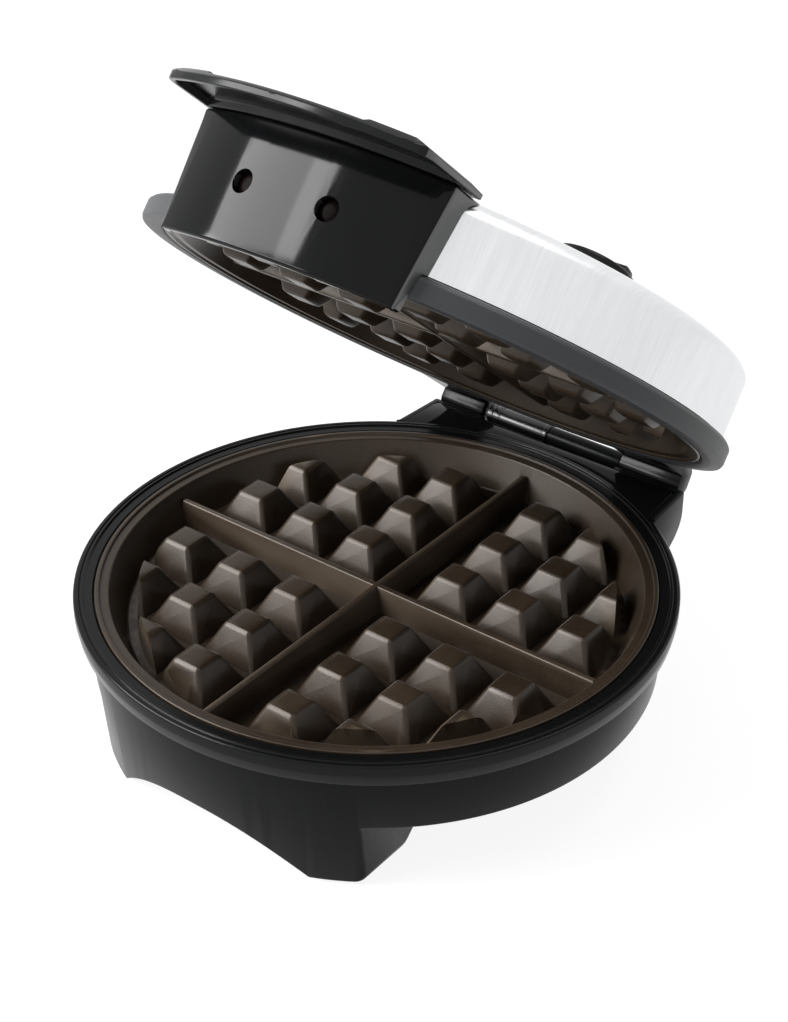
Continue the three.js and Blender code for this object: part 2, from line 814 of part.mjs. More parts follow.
// Rim ring of the base with the ledge that carries the lower plate
function rimRing() {
  const ledgeTop = partingHeight - flangeBack - gap;
  const band = rimTop - rimBandDrop;
  const step = rimRadius - rimStepInset;
  const groove = rimRadius - rimGrooveInset;
  return turned([
    [ledgeRadius, rimUnderside],
    [rimRadius - rimUndercut, rimUnderside],
    [rimRadius, rimTop - rimBead - rimSideHeight],
    [rimRadius, rimTop - rimBead],
    [rimRadius - rimBead, rimTop],
    [groove + rimGrooveHalf, rimTop],
    [groove, rimTop - rimGrooveDepth],
    [groove - rimGrooveHalf, rimTop],
    [step + rimStepWidth, rimTop],
    [step, band],
    [wellRadius, band],
    [wellRadius, ledgeTop],
    [ledgeRadius, ledgeTop],
  ]);
}

// The deck behind the rim, and the fixed middle of the hinge barrel that it carries
function baseDeck() {
  const inset = housingWall + gap;
  const slab = cut(
    solidFrom(pushed(bossPlan(inset), "z", rimTop - deckThickness, rimTop)),
    solidFrom(disc((wellRadius + rimRadius) / 2, 0, rimTop + overrun, roundSteps)),
  );
  const webTop = hingeHeight - knuckleWebDrop;
  const web = block(
    [-baseKnuckleLeft, bossRear - inset - overrun, webTop - knuckleWebThickness],
    [baseKnuckleRight, hingeOffset, webTop],
  );
  const at = (geometry) => solidFrom(alongX(geometry).translate(0, hingeOffset, hingeHeight));
  const barrel = at(disc(knuckleRadius, -baseKnuckleLeft, -tunnelLeft));
  const tunnel = at(disc(tunnelRadius, -tunnelLeft - overrun, baseKnuckleRight));
  const pinDepth = -tunnelLeft - knuckleEndWall;
  const pinHole = at(disc(pinRadius + gap, -baseKnuckleLeft - overrun, pinDepth, tinySteps));
  const tubeHole = at(disc(tubePinRadius + gap, -tunnelLeft, baseKnuckleRight + overrun, tinySteps));
  const lugs = plateLugs().map((lug) => lug.translate([0, 0, partingHeight]));
  return cut(join([solidFrom(rimRing()), slab, solidFrom(web), barrel, tunnel, ...lugs]), pinHole, tubeHole);
}

function hingePin(low, high, radius) {
  return alongX(disc(radius, low, high, tinySteps));
}

function hingeTube(low, high) {
  return alongX(
    turned([[tubePinBore, low], [tubePinRadius, low], [tubePinRadius, high], [tubePinBore, high]], tinySteps),
  );
}

// Grommet that lines the opening where the mains lead enters the boss
function inletBush() {
  const outside = bossRear + gap;
  const inside = outside - inletBushDepth;
  return alongY(
    turned(
      [
        [inletBore, inside],
        [inletRadius, inside],
        [inletRadius, outside],
        [inletFlange, outside],
        [inletFlange, outside + inletFlangeThickness],
        [inletBore, outside + inletFlangeThickness],
      ],
      smallSteps,
    ),
  );
}

function terminalBlock() {
  const half = terminalBlockLength / 2 - gap;
  const low = terminalSeat + gap;
  const body = block(
    [terminalBlockSide - half, terminalBack - terminalBlockDepth, low],
    [terminalBlockSide + half, terminalBack, low + terminalBlockHeight],
  );
  const wireHoles = [-1, 1].map((side) => {
    const hole = alongY(disc(terminalBlockHeight / 4, bossFront, bossRear, tinySteps));
    return solidFrom(hole.translate(terminalBlockSide + (side * half) / 2, 0, low + terminalBlockHeight / 2));
  });
  return cut(solidFrom(body), ...wireHoles);
}

// Thermal fuse under the lower plate and the clip that holds it
function fuseClip() {
  const inner = fuseRadius + gap;
  const outer = inner + fuseClipThickness;
  const top = -plateBack - gap;
  const floor = top - 2 * fuseRadius - gap;
  const outline = [
    [-outer - fuseClipFoot, top],
    [-outer - fuseClipFoot, top - fuseClipThickness],
    [-outer, top - fuseClipThickness],
    [-outer, floor - fuseClipThickness],
    [outer, floor - fuseClipThickness],
    [outer, top - fuseClipThickness],
    [outer + fuseClipFoot, top - fuseClipThickness],
    [outer + fuseClipFoot, top],
    [inner, top],
    [inner, floor],
    [-inner, floor],
    [-inner, top],
  ];
  return pushed(outline, "x", -fuseClipWidth / 2, fuseClipWidth / 2);
}

function buildBase() {
  const group = new THREE.Group();
  place(group, "base_housing", baseHousing(), satinBlack);
  place(group, "base_rim_and_deck", baseDeck(), glossBlack);
  place(group, "base_bottom_cover", bottomCover(), satinBlack);
  aroundDrum(coverScrewCount, coverScrewCircle).forEach(([x, y], i) => {
    const fixing = screw(coverScrewHeadRadius, coverScrewHeadHeight, coverScrewRadius, coverScrewLength);
    place(group, `bottom_cover_screw_${i + 1}`, fixing, zincSteel).position.set(x, y, feetHeight);
  });
  for (const [end, sy] of [["front", -1], ["rear", 1]])
    for (const [side, sx] of [["left", -1], ["right", 1]]) {
      const pad = place(group, `${end}_${side}_foot_pad`, disc(padRadius, 0, padHeight), blackRubber);
      pad.position.set(sx * padCentre[0], sy * padCentre[1], 0);
    }
  const pinFar = leftKnuckleOuter - knuckleEndWall;
  const pin = hingePin(-pinFar, -tunnelLeft - knuckleEndWall - pinEndPlay, pinRadius);
  place(group, "hinge_pin_left", pin, zincSteel).position.set(0, hingeOffset, hingeHeight);
  const tubeFar = rightKnuckleOuter - knuckleEndWall - pinEndPlay;
  const tube = place(group, "hinge_wire_tube_right", hingeTube(0, tubeFar), zincSteel);
  tube.position.set(0, hingeOffset, hingeHeight);
  place(group, "cord_inlet_bush", inletBush(), blackRubber).position.set(0, 0, inletHeight);
  place(group, "terminal_block", terminalBlock(), ceramic);
  const pack = heatingPack("lower", ["front", "right", "left"]);
  const fuse = alongX(disc(fuseRadius, -fuseLength / 2, fuseLength / 2, tinySteps));
  const fuseMesh = place(pack, "thermal_fuse", fuse, ceramic);
  fuseMesh.position.set(0, fuseOffset, -plateBack - gap - fuseRadius);
  place(pack, "thermal_fuse_clip", fuseClip(), zincSteel).position.set(0, fuseOffset, 0);
  pack.position.z = partingHeight;
  group.add(pack);
  return group;
}

// Lid, drawn closed: heights are those of the closed appliance
function armOutline() {
  const low = ringBottom + armLift;
  const front = rimRadius - armInset;
  const outline = [[front, low], [hingeOffset - knuckleRadius, low]];
  for (let i = 0; i <= tinySteps; i += 1) {
    const angle = Math.PI + (i * Math.PI) / tinySteps;
    outline.push([
      hingeOffset + knuckleRadius * Math.cos(angle),
      hingeHeight + knuckleRadius * Math.sin(angle),
    ]);
  }
  outline.push([hingeOffset + armBackReach, low + armBackHeight]);
  outline.push([rimRadius, low + armHeight - armLift]);
  outline.push([front, low + armHeight - armLift]);
  return outline;
}

function lidArm(low, high, boreRadius, boreLow, boreHigh) {
  const arm = cut(
    solidFrom(pushed(armOutline(), "x", low, high)),
    solidFrom(disc(rimRadius - ringBodyWidth / 2, 0, crownTop, roundSteps)),
  );
  const bore = alongX(disc(boreRadius, boreLow, boreHigh, tinySteps));
  return cut(arm, solidFrom(bore.translate(0, hingeOffset, hingeHeight)));
}

function ringProfile() {
  const ledge = partingHeight + flangeBack + gap;
  const body = ringRadius - ringBodyWidth;
  const top = ringBottom + ringHeight;
  const lip = shellRadius - shellThickness - gap;
  return [
    [ledgeRadius, ledge],
    [wellRadius, ledge],
    [wellRadius, ringBottom + ringLowerBevel],
    [wellRadius + ringLowerBevel, ringBottom],
    [ringRadius - ringLowerInset, ringBottom],
    [ringRadius - ringLowerBevel, ringBottom + ringLowerRise],
    [ringRadius, ringBottom + ringSideRise],
    [ringRadius, ringBottom + ringSideTop],
    [ringRadius - ringShoulderInset, ringBottom + ringShoulderRise],
    [shellRadius, top],
    [lip, top],
    [lip, top + ringLipHeight],
    [lip - ringLipWidth, top + ringLipHeight],
    [body, ledge + flangeThickness + ringLowerBevel],
    [ledgeRadius, ledge + flangeThickness],
  ];
}

function lidRing() {
  const left = lidArm(
    -leftKnuckleOuter,
    -leftKnuckleInner,
    pinRadius + gap,
    -leftKnuckleOuter - overrun,
    -leftKnuckleInner + overrun,
  );
  const right = lidArm(
    baseKnuckleRight + gap,
    rightKnuckleOuter,
    tubePinRadius + gap,
    baseKnuckleRight - overrun,
    rightKnuckleOuter - knuckleEndWall,
  );
  const top = ringBottom + ringHeight;
  const lampRoom = block(
    [-lampHolderHalfWidth - gap, -ringRadius, top],
    [lampHolderHalfWidth + gap, -pocketRadius / 2, crownTop],
  );
  const lugs = plateLugs().map((lug) => lug.rotate([0, 180, 0]).translate([0, 0, partingHeight]));
  return cut(join([solidFrom(turned(ringProfile())), left, right, ...lugs]), solidFrom(lampRoom));
}

const crownHeight = (radius) => crownTop - crownRise * (radius / crownRadius) ** 2;

// Outside of the shell from its lower edge up to the top, drawn in or out by an offset
function shellOutline(offset) {
  const centre = shellRadius - shellTaper - shellShoulderWidth;
  const outline = [[shellRadius + offset, shellBottom]];
  for (let i = 0; i <= shellShoulderSteps; i += 1) {
    const angle = (i * Math.PI) / 2 / shellShoulderSteps;
    outline.push([
      centre + (shellShoulderWidth + offset) * Math.cos(angle),
      shoulderBottom + (shellShoulderHeight + offset) * Math.sin(angle),
    ]);
  }
  outline.pop();
  for (let i = crownSteps; i >= 0; i -= 1) {
    const radius = (crownRadius * i) / crownSteps;
    outline.push([radius, crownHeight(radius) + offset]);
  }
  return outline;
}

function lidShell() {
  const outside = shellOutline(0);
  const inside = shellOutline(-shellThickness).reverse();
  const sheet = turned([...inside, ...outside].reverse());
  const window = block(
    [-shellWindowHalfWidth, -ringRadius, shellBottom - overrun],
    [shellWindowHalfWidth, shellWindowDepth - shellRadius, shellBottom + shellWindowHeight],
  );
  const screwHoles = [-1, 1].map((side) => {
    const hole = alongY(disc(boxScrewRadius + 2 * gap, -boxRadius, -pocketRadius, tinySteps));
    return solidFrom(hole.translate(0, 0, boxBottom + boxScrewRise).rotateZ(side * boxScrewAngle));
  });
  const dialHole = solidFrom(
    onDialAxis(disc(thermostatNeckRadius + gap, -thermostatHeight, dialBezelHeight)),
  );
  return cut(solidFrom(sheet), solidFrom(window), ...screwHoles, dialHole);
}

function onDialAxis(geometry) {
  return geometry.rotateX(-dialTilt).translate(0, dialOffset, crownHeight(dialOffset));
}

// Front housing: a curved gloss panel with two side walls, standing off the rim and the shell
function boxOutline(inset, low, high) {
  const at = (z) => {
    const share = (z - boxBottom) / boxHeight;
    return boxBottomHalfWidth + (boxTopHalfWidth - boxBottomHalfWidth) * share - inset;
  };
  return [[-at(low), low], [at(low), low], [at(high), high], [-at(high), high]];
}

function boxRoom() {
  const free = rimRadius + boxRimClearance;
  const ring = ringProfile().slice(5, 10).map(([r, z]) => [r + gap, z]);
  return turned([
    [0, boxBottom - overrun],
    [free, boxBottom - overrun],
    [free, ringBottom],
    ...ring,
    ...shellOutline(gap),
  ]);
}

function radially(geometry, height, angle) {
  return geometry.translate(0, 0, height).rotateZ(angle);
}

function frontHousing() {
  const outer = common(
    solidFrom(pushed(boxOutline(0, boxBottom, boxTop), "y", -boxRadius, -boxBack)),
    solidFrom(disc(boxRadius, 0, boxTop, roundSteps)),
  );
  const inner = common(
    solidFrom(pushed(boxOutline(boxWall, boxBottom - overrun, boxTop - boxWall), "y", -boxRadius, 0)),
    solidFrom(disc(boxRadius - boxWall, 0, boxTop, roundSteps)),
  );
  const lampHoles = [-1, 1].map((side) => {
    const hole = alongY(disc(lampHoleRadius, -boxRadius - overrun, -shellRadius));
    return solidFrom(radially(hole, ringBottom + lampRise, side * lampAngle));
  });
  const height = boxBottom + boxScrewRise;
  const bosses = [-1, 1].map((side) => {
    const front = boxWall / 2 - boxRadius;
    const boss = alongY(disc(boxBossRadius, front, -shellRadius - gap, tinySteps));
    return solidFrom(radially(boss, height, side * boxScrewAngle));
  });
  const pilots = [-1, 1].map((side) => {
    const pilot = alongY(disc(boxScrewRadius + gap, -boxRadius + boxWall, -shellRadius + overrun, tinySteps));
    return solidFrom(radially(pilot, height, side * boxScrewAngle));
  });
  const hollow = cut(outer, inner);
  return cut(join([hollow, ...bosses]), solidFrom(boxRoom()), ...lampHoles, ...pilots);
}

// Handle cover over the front housing: a lip to lift by with a finger grip under it, a thumb rest
// on top and a rear edge on the crown
function coverPlan() {
  const front = -boxRadius - coverReach;
  const side = coverHalfWidth;
  const centre = front + coverFrontArc;
  const outline = [[side, -coverRear], [-side, -coverRear]];
  const reach = side - coverCorner;
  const corner = centre - Math.sqrt(coverFrontArc ** 2 - reach ** 2);
  outline.push([-side, corner + coverCorner]);
  for (let i = 0; i <= coverArcSteps; i += 1) {
    const x = reach * ((2 * i) / coverArcSteps - 1);
    outline.push([x, centre - Math.sqrt(coverFrontArc ** 2 - x ** 2)]);
  }
  outline.push([side, corner + coverCorner]);
  return outline;
}

function handleCover() {
  const front = -boxRadius - coverReach;
  const side = [
    [front, coverBottom],
    [front, coverBottom + coverLip],
    [front + coverBevel, coverTop],
    [-coverRear - coverSlopeLength, coverTop],
    [-coverRear, coverTop - coverRearDrop],
    [-coverRear, coverBottom],
  ];
  const flat = coverHalfWidth - coverSideBevel;
  const across = [
    [-coverHalfWidth, coverBottom],
    [coverHalfWidth, coverBottom],
    [coverHalfWidth, coverTop - coverSideDrop],
    [flat, coverTop],
    [-flat, coverTop],
    [-coverHalfWidth, coverTop - coverSideDrop],
  ];
  const body = common(
    solidFrom(pushed(coverPlan(), "z", coverBottom, coverTop)),
    solidFrom(pushed(side, "x", -coverHalfWidth, coverHalfWidth)),
    solidFrom(pushed(across, "y", front, -coverRear)),
  );
  const inside = coverFrontArc - gripInset;
  const arc = (x) => front + coverFrontArc - Math.sqrt(inside ** 2 - x ** 2);
  const gripSide = coverHalfWidth - gripSideWall;
  const gripReach = gripSide - coverCorner;
  const shoulder = arc(gripReach) + coverCorner;
  const groove = [[gripSide, -coverRear], [-gripSide, -coverRear], [-gripSide, shoulder]];
  for (let i = 0; i <= coverArcSteps; i += 1) {
    const x = gripReach * ((2 * i) / coverArcSteps - 1);
    groove.push([x, arc(x)]);
  }
  groove.push([gripSide, shoulder]);
  const grip = cut(
    solidFrom(pushed(groove, "z", coverBottom - overrun, coverBottom + gripDepth)),
    solidFrom(disc(boxRadius + gap, 0, coverTop, roundSteps)),
  );
  const room = solidFrom(turned([[0, shellBottom], ...shellOutline(gap)]));
  const thumb = block(
    [-thumbHalfWidth, front - overrun, coverTop - thumbDepth],
    [thumbHalfWidth, front + thumbLength, coverTop + overrun],
  );
  return cut(body, grip, room, solidFrom(thumb));
}

// Pilot lamps, drawn at the front and then turned to their places about the lid's axis
function lens() {
  const back = -boxRadius + boxWall + 2 * gap;
  return alongY(
    turned(
      [
        [0, -boxRadius + lensRecess],
        [lampHoleRadius - gap, -boxRadius + lensRecess],
        [lampHoleRadius - gap, back],
        [lensFlangeRadius, back],
        [lensFlangeRadius, back + lensFlangeThickness],
        [0, back + lensFlangeThickness],
      ],
      smallSteps,
    ),
  );
}

const lampFront = -boxRadius + boxWall + lensFlangeThickness + 3 * gap;

function lampHolder() {
  const outer = shellRadius - shellThickness - gap;
  const low = ringBottom + ringHeight + gap;
  const high = low + lampHolderHeight;
  const band = turned([
    [outer - lampHolderThickness, low],
    [outer, low],
    [outer, high],
    [outer - lampHolderThickness, high],
  ]);
  const half = lampHolderHalfWidth;
  const wedge = block([-half, -ringRadius, low - overrun], [half, 0, high + overrun]);
  const holes = [-1, 1].map((side) => {
    const hole = alongY(disc(lampRadius + gap, -ringRadius, -pocketRadius, tinySteps));
    return solidFrom(radially(hole, ringBottom + lampRise, side * lampAngle));
  });
  return cut(common(solidFrom(band), solidFrom(wedge)), ...holes);
}

function placeFrontFittings(group) {
  place(group, "lamp_holder", lampHolder(), satinBlack);
  for (const [side, sign] of [["left", -1], ["right", 1]]) {
    const lensMesh = place(group, `lamp_lens_${side}`, lens(), lampGlass);
    lensMesh.position.z = ringBottom + lampRise;
    lensMesh.rotation.z = sign * lampAngle;
    const bulb = alongY(disc(lampRadius, lampFront, lampFront + lampLength, tinySteps));
    const bulbMesh = place(group, `neon_lamp_${side}`, bulb, lampGlass);
    bulbMesh.position.z = ringBottom + lampRise;
    bulbMesh.rotation.z = sign * lampAngle;
    const seat = shellRadius - shellThickness - 2 * gap;
    const length = boxRadius - boxWall - seat - gap;
    const fixing = screw(boxScrewHeadRadius, boxScrewHeadHeight, boxScrewRadius, length);
    const facing = fixing.rotateX(Math.PI / 2).translate(0, -seat, 0);
    const fixingMesh = place(group, `front_housing_screw_${side}`, facing, zincSteel);
    fixingMesh.position.z = boxBottom + boxScrewRise;
    fixingMesh.rotation.z = sign * boxScrewAngle;
  }
}

// Thermostat, bezel and dial, along the dial's own axis with the crown's surface at height 0
function thermostat() {
  const top = -shellThickness - 2 * gap;
  const body = turned(
    [
      [0, top - thermostatHeight],
      [thermostatRadius, top - thermostatHeight],
      [thermostatRadius, top],
      [thermostatNeckRadius, top],
      [thermostatNeckRadius, thermostatNeckRise],
      [0, thermostatNeckRise],
    ],
    smallSteps,
  );
  const bore = disc(shaftRadius + gap, -shaftFoot - gap, thermostatNeckRise + overrun, tinySteps);
  return cut(solidFrom(body), solidFrom(bore));
}

function dialBezel() {
  const collar = turned(
    [
      [thermostatNeckRadius + gap, -dialBezelSkirt],
      [dialBezelRadius, -dialBezelSkirt],
      [dialBezelRadius, gap],
      [dialBezelTopRadius, dialBezelHeight],
      [dialRadius + gap, dialBezelHeight],
      [dialRadius + gap, dialBezelFloor],
      [thermostatNeckRadius + gap, dialBezelFloor],
    ],
    smallSteps * 2,
  );
  const crown = turned([[0, shellBottom], ...shellOutline(gap)]);
  crown.translate(0, -dialOffset, -crownHeight(dialOffset)).rotateX(dialTilt);
  return cut(solidFrom(collar), solidFrom(crown));
}

const dialLow = dialBezelFloor + gap;
const dialTop = dialBezelHeight + dialHeight;

function controlDial() {
  const body = turned(
    [
      [0, dialLow],
      [dialRadius, dialLow],
      [dialRadius, dialTop - dialChamfer],
      [dialRadius - dialChamfer, dialTop],
      [dialRadius / 2, dialTop + dialCrown * dialCrownShare],
      [0, dialTop + dialCrown],
    ],
    smallSteps * 2,
  );
  const reach = dialRadius - dialGripInset;
  const grip = pushed(
    [
      [-dialGripWidth / 2, dialTop - dialChamfer],
      [dialGripWidth / 2, dialTop - dialChamfer],
      [dialGripTopWidth / 2, dialTop + dialGripHeight],
      [-dialGripTopWidth / 2, dialTop + dialGripHeight],
    ],
    "x",
    -reach,
    reach,
  );
  const socket = disc(shaftRadius + gap, 0, dialLow + dialSocketDepth + gap, tinySteps);
  return cut(solidFrom(body).add(solidFrom(grip)), solidFrom(socket));
}

function dialShaft() {
  const rod = disc(shaftRadius, -shaftFoot, dialLow + dialSocketDepth, tinySteps);
  const flat = block(
    [-shaftRadius, shaftRadius - shaftFlatInset, thermostatNeckRise],
    [shaftRadius, shaftRadius + overrun, dialLow + dialSocketDepth + overrun],
  );
  return cut(solidFrom(rod), solidFrom(flat));
}

function buildDial() {
  const group = new THREE.Group();
  place(group, "thermostat", thermostat(), ceramic);
  place(group, "dial_bezel", dialBezel(), satinBlack);
  place(group, "control_dial", controlDial(), satinBlack);
  place(group, "dial_shaft", dialShaft(), zincSteel);
  group.position.set(0, dialOffset, crownHeight(dialOffset));
  group.rotation.x = -dialTilt;
  return group;
}

function buildLid() {
  const group = new THREE.Group();
  place(group, "lid_ring", lidRing(), darkGrey);
  place(group, "lid_shell", lidShell(), brushedSteel);
  place(group, "front_housing", frontHousing(), glossBlack);
  place(group, "handle_cover", handleCover(), satinBlack);
  placeFrontFittings(group);
  group.add(buildDial());
  const pack = heatingPack("upper", ["front", "left", "right"]);
  pack.rotation.y = Math.PI;
  pack.position.z = partingHeight;
  group.add(pack);
  return group;
}

// The lid turns about the hinge, and stands open as it does while the plates are being filled
const machine = new THREE.Group();
machine.add(buildBase());
const hinge = new THREE.Group();
hinge.position.set(0, hingeOffset, hingeHeight);
hinge.rotation.x = -lidOpenAngle;
const lid = buildLid();
lid.position.set(0, -hingeOffset, -hingeHeight);
hinge.add(lid);
machine.add(hinge);

export default machine;
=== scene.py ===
"""Looks of a belgian waffle maker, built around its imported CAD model."""

import math

import bpy
from bpy.props import FloatProperty, FloatVectorProperty, IntProperty, PointerProperty
from mathutils import Matrix, Vector


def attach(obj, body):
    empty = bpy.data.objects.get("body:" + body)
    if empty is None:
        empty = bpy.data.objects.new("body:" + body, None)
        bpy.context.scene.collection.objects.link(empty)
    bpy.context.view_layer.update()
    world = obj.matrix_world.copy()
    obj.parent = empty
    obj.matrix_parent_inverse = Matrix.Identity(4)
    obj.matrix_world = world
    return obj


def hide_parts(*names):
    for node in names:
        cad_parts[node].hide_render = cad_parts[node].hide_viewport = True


bl_info = {
    "name": "Belgian Waffle Maker",
    "version": (1, 0, 0),
    "blender": (4, 5, 0),
    "location": "View3D > Sidebar > Waffle Maker",
    "description": "Dresses the packed waffle maker with its moulded, pressed and cast pieces",
    "category": "Object",
}

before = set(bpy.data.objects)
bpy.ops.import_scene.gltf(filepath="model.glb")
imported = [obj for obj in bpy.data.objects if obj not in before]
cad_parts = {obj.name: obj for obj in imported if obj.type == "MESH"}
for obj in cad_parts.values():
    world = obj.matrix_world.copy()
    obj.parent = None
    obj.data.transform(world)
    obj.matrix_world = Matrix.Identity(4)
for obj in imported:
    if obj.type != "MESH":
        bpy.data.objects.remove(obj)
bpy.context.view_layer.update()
MM = 0.001


# ---------------------------------------------------------------- settings


class WaffleMakerSizes(bpy.types.PropertyGroup):
    rim_radius: FloatProperty(
        name="Rim radius", description="Outside of the base's rim", default=0.104, unit="LENGTH"
    )
    rim_top: FloatProperty(
        name="Rim height", description="Top of the rim above the table", default=0.0554, unit="LENGTH"
    )
    parting_height: FloatProperty(
        name="Parting height", description="Plane where the two halves meet", default=0.0558, unit="LENGTH"
    )
    plate_radius: FloatProperty(
        name="Plate radius", description="Outside of a cooking plate", default=0.0968, unit="LENGTH"
    )
    pocket_depth: FloatProperty(
        name="Pocket depth", description="Depth of a plate's pocket", default=0.013, unit="LENGTH"
    )
    stud_height: FloatProperty(
        name="Stud height", description="Height of the plates' studs", default=0.0115, unit="LENGTH"
    )
    hinge_offset: FloatProperty(
        name="Hinge offset", description="Hinge axis behind the middle", default=0.1155, unit="LENGTH"
    )
    hinge_height: FloatProperty(
        name="Hinge height", description="Hinge axis above the table", default=0.05406, unit="LENGTH"
    )
    lid_angle: FloatProperty(
        name="Lid angle", description="How far the lid stands open", default=0.70895, subtype="ANGLE"
    )
    round_steps: IntProperty(
        name="Steps round", description="Steps of the large turned pieces", default=192, min=48, max=256
    )


class WaffleMakerColours(bpy.types.PropertyGroup):
    gloss_black: FloatVectorProperty(
        name="Gloss black", description="Rim, deck and front housing", default=(0.0034, 0.0036, 0.0038), subtype="COLOR"
    )
    satin_black: FloatVectorProperty(
        name="Satin black", description="Base housing, handle and dial", default=(0.0046, 0.0049, 0.0052), subtype="COLOR"
    )
    dark_grey: FloatVectorProperty(
        name="Dark grey", description="Ring of the lid", default=(0.028, 0.0295, 0.032), subtype="COLOR"
    )
    steel: FloatVectorProperty(
        name="Steel", description="Brushed shell of the lid", default=(0.80, 0.81, 0.82), subtype="COLOR"
    )
    # Coating: the dark brown of the non-stick coating, warmed a little as a painted reflection of a golden waffle that
    # is not built.
    coating: FloatVectorProperty(
        name="Coating", description="Non-stick coating of the plates", default=(0.029, 0.0195, 0.0125), subtype="COLOR"
    )


class WaffleMakerStage(bpy.types.PropertyGroup):
    lens: FloatProperty(
        name="Lens", description="Focal length for a 36 mm long side", default=0.07395, unit="LENGTH"
    )
    key_power: FloatProperty(
        name="Key light", description="Power of the large softbox", default=13.5, unit="POWER"
    )
    fill_power: FloatProperty(
        name="Fill light", description="Power of the light above the back", default=3.8, unit="POWER"
    )
    sky: FloatProperty(
        name="Surroundings", description="Strength of the even light all round", default=0.38, min=0, max=1, subtype="FACTOR"
    )


def sizes():
    """The sizes in millimetres."""
    s = bpy.context.scene.waffle_maker_sizes
    return {k: getattr(s, k) / MM for k in s.__annotations__ if k not in ("lid_angle", "round_steps")}


# ---------------------------------------------------------------- modelling by operators


def deselect_all():
    if bpy.context.object and bpy.context.object.mode != "OBJECT":
        bpy.ops.object.mode_set(mode="OBJECT")
    bpy.ops.object.select_all(action="DESELECT")


def take(piece):
    deselect_all()
    piece.select_set(True)
    bpy.context.view_layer.objects.active = piece
    return piece


def edit_all(piece):
    take(piece)
    bpy.ops.object.mode_set(mode="EDIT")
    bpy.ops.mesh.select_mode(type="VERT")
    bpy.ops.mesh.select_all(action="SELECT")


def leave_edit():
    bpy.ops.object.mode_set(mode="OBJECT")


def rounded(corners, steps=4):
    """A closed outline whose corners (a, b, radius) are rounded with arcs."""
    points = []
    n = len(corners)
    for i, corner in enumerate(corners):
        a, b = corner[:2]
        radius = corner[2] if len(corner) > 2 else 0
        here = Vector((a, b))
        back = Vector(corners[i - 1][:2]) - here
        ahead = Vector(corners[(i + 1) % n][:2]) - here
        if radius <= 0 or back.length < 1e-6 or ahead.length < 1e-6:
            points.append((a, b))
            continue
        half = back.angle(ahead) / 2
        if half > math.pi / 2 - 0.02:
            points.append((a, b))
            continue
        reach = min(radius / math.tan(half), 0.48 * back.length, 0.48 * ahead.length)
        radius = reach * math.tan(half)
        start = here + back.normalized() * reach
        end = here + ahead.normalized() * reach
        centre = here + (back.normalized() + ahead.normalized()).normalized() * (radius / math.sin(half))
        u, v = start - centre, end - centre
        turn = u.angle(v)
        for k in range(steps + 1):
            t = k / steps
            w = (u * math.sin((1 - t) * turn) + v * math.sin(t * turn)) / math.sin(turn)
            points.append(tuple(centre + w))
    return points


def outline(name, points):
    """An open or closed line of vertices in millimetres: a circle whose vertices go to their places."""
    deselect_all()
    bpy.ops.mesh.primitive_circle_add(vertices=len(points), radius=1, fill_type="NOTHING")
    piece = bpy.context.object
    piece.name = piece.data.name = name
    for vertex, point in zip(piece.data.vertices, points):
        vertex.co = Vector(point) * MM
    return piece


def tidy_faces():
    bpy.ops.mesh.select_all(action="SELECT")
    bpy.ops.mesh.remove_doubles(threshold=1e-6)
    bpy.ops.mesh.select_all(action="SELECT")
    bpy.ops.mesh.normals_make_consistent(inside=False)


def turned(name, profile, steps=None, centre=(0, 0)):
    """A closed profile of (radius, height) turned about the upright axis through centre."""
    steps = steps or bpy.context.scene.waffle_maker_sizes.round_steps
    on_axis = [abs(r) < 1e-9 for r, z in profile]
    if any(on_axis):
        first = next(i for i in range(len(profile)) if on_axis[i] and not on_axis[(i + 1) % len(profile)])
        profile = profile[first:] + profile[:first]
    piece = outline(name, [(centre[0] + r, centre[1], z) for r, z in profile])
    edit_all(piece)
    if any(on_axis):
        bpy.ops.mesh.select_all(action="DESELECT")
        leave_edit()
        last = len(profile) - 1
        for edge in piece.data.edges:
            if set(edge.vertices) == {0, last}:
                edge.select = True
        bpy.ops.object.mode_set(mode="EDIT")
        bpy.ops.mesh.select_mode(type="EDGE")
        bpy.ops.mesh.delete(type="EDGE_FACE")
        bpy.ops.mesh.select_mode(type="VERT")
        bpy.ops.mesh.select_all(action="SELECT")
    bpy.ops.mesh.spin(
        steps=steps, angle=2 * math.pi, center=(centre[0] * MM, centre[1] * MM, 0), axis=(0, 0, 1)
    )
    tidy_faces()
    leave_edit()
    return piece


AXES = {"x": ((0, 1, 0), (0, 0, 1), (1, 0, 0)), "y": ((1, 0, 0), (0, 0, 1), (0, 1, 0)), "z": ((1, 0, 0), (0, 1, 0), (0, 0, 1))}


def pushed(name, shape, axis, low, high):
    """A filled outline pushed from low to high along an axis."""
    first, second, along = (Vector(v) for v in AXES[axis])
    piece = outline(name, [first * a + second * b + along * low for a, b in shape])
    edit_all(piece)
    bpy.ops.mesh.edge_face_add()
    bpy.ops.mesh.extrude_region_move(TRANSFORM_OT_translate={"value": along * (high - low) * MM})
    tidy_faces()
    leave_edit()
    return piece


def rod(name, radius, axis, low, high, at=(0, 0, 0), steps=48, chamfer=0.0, bore=0.0):
    """A round bar along an axis through a point, with turned-down ends and an optional bore."""
    c = chamfer
    corners = [(bore, low), (radius, low, c), (radius, high, c), (bore, high)]
    piece = turned(name, rounded(corners, 3), steps)
    turn = {"x": Matrix.Rotation(math.pi / 2, 4, "Y"), "y": Matrix.Rotation(-math.pi / 2, 4, "X"), "z": Matrix.Identity(4)}
    settle(piece, Matrix.Translation(Vector(at) * MM) @ turn[axis])
    return piece


def settle(piece, matrix):
    """Moves a piece by a matrix and puts the move into its mesh."""
    take(piece)
    piece.matrix_world = matrix @ piece.matrix_world
    bpy.ops.object.transform_apply(location=True, rotation=True, scale=True)
    return piece


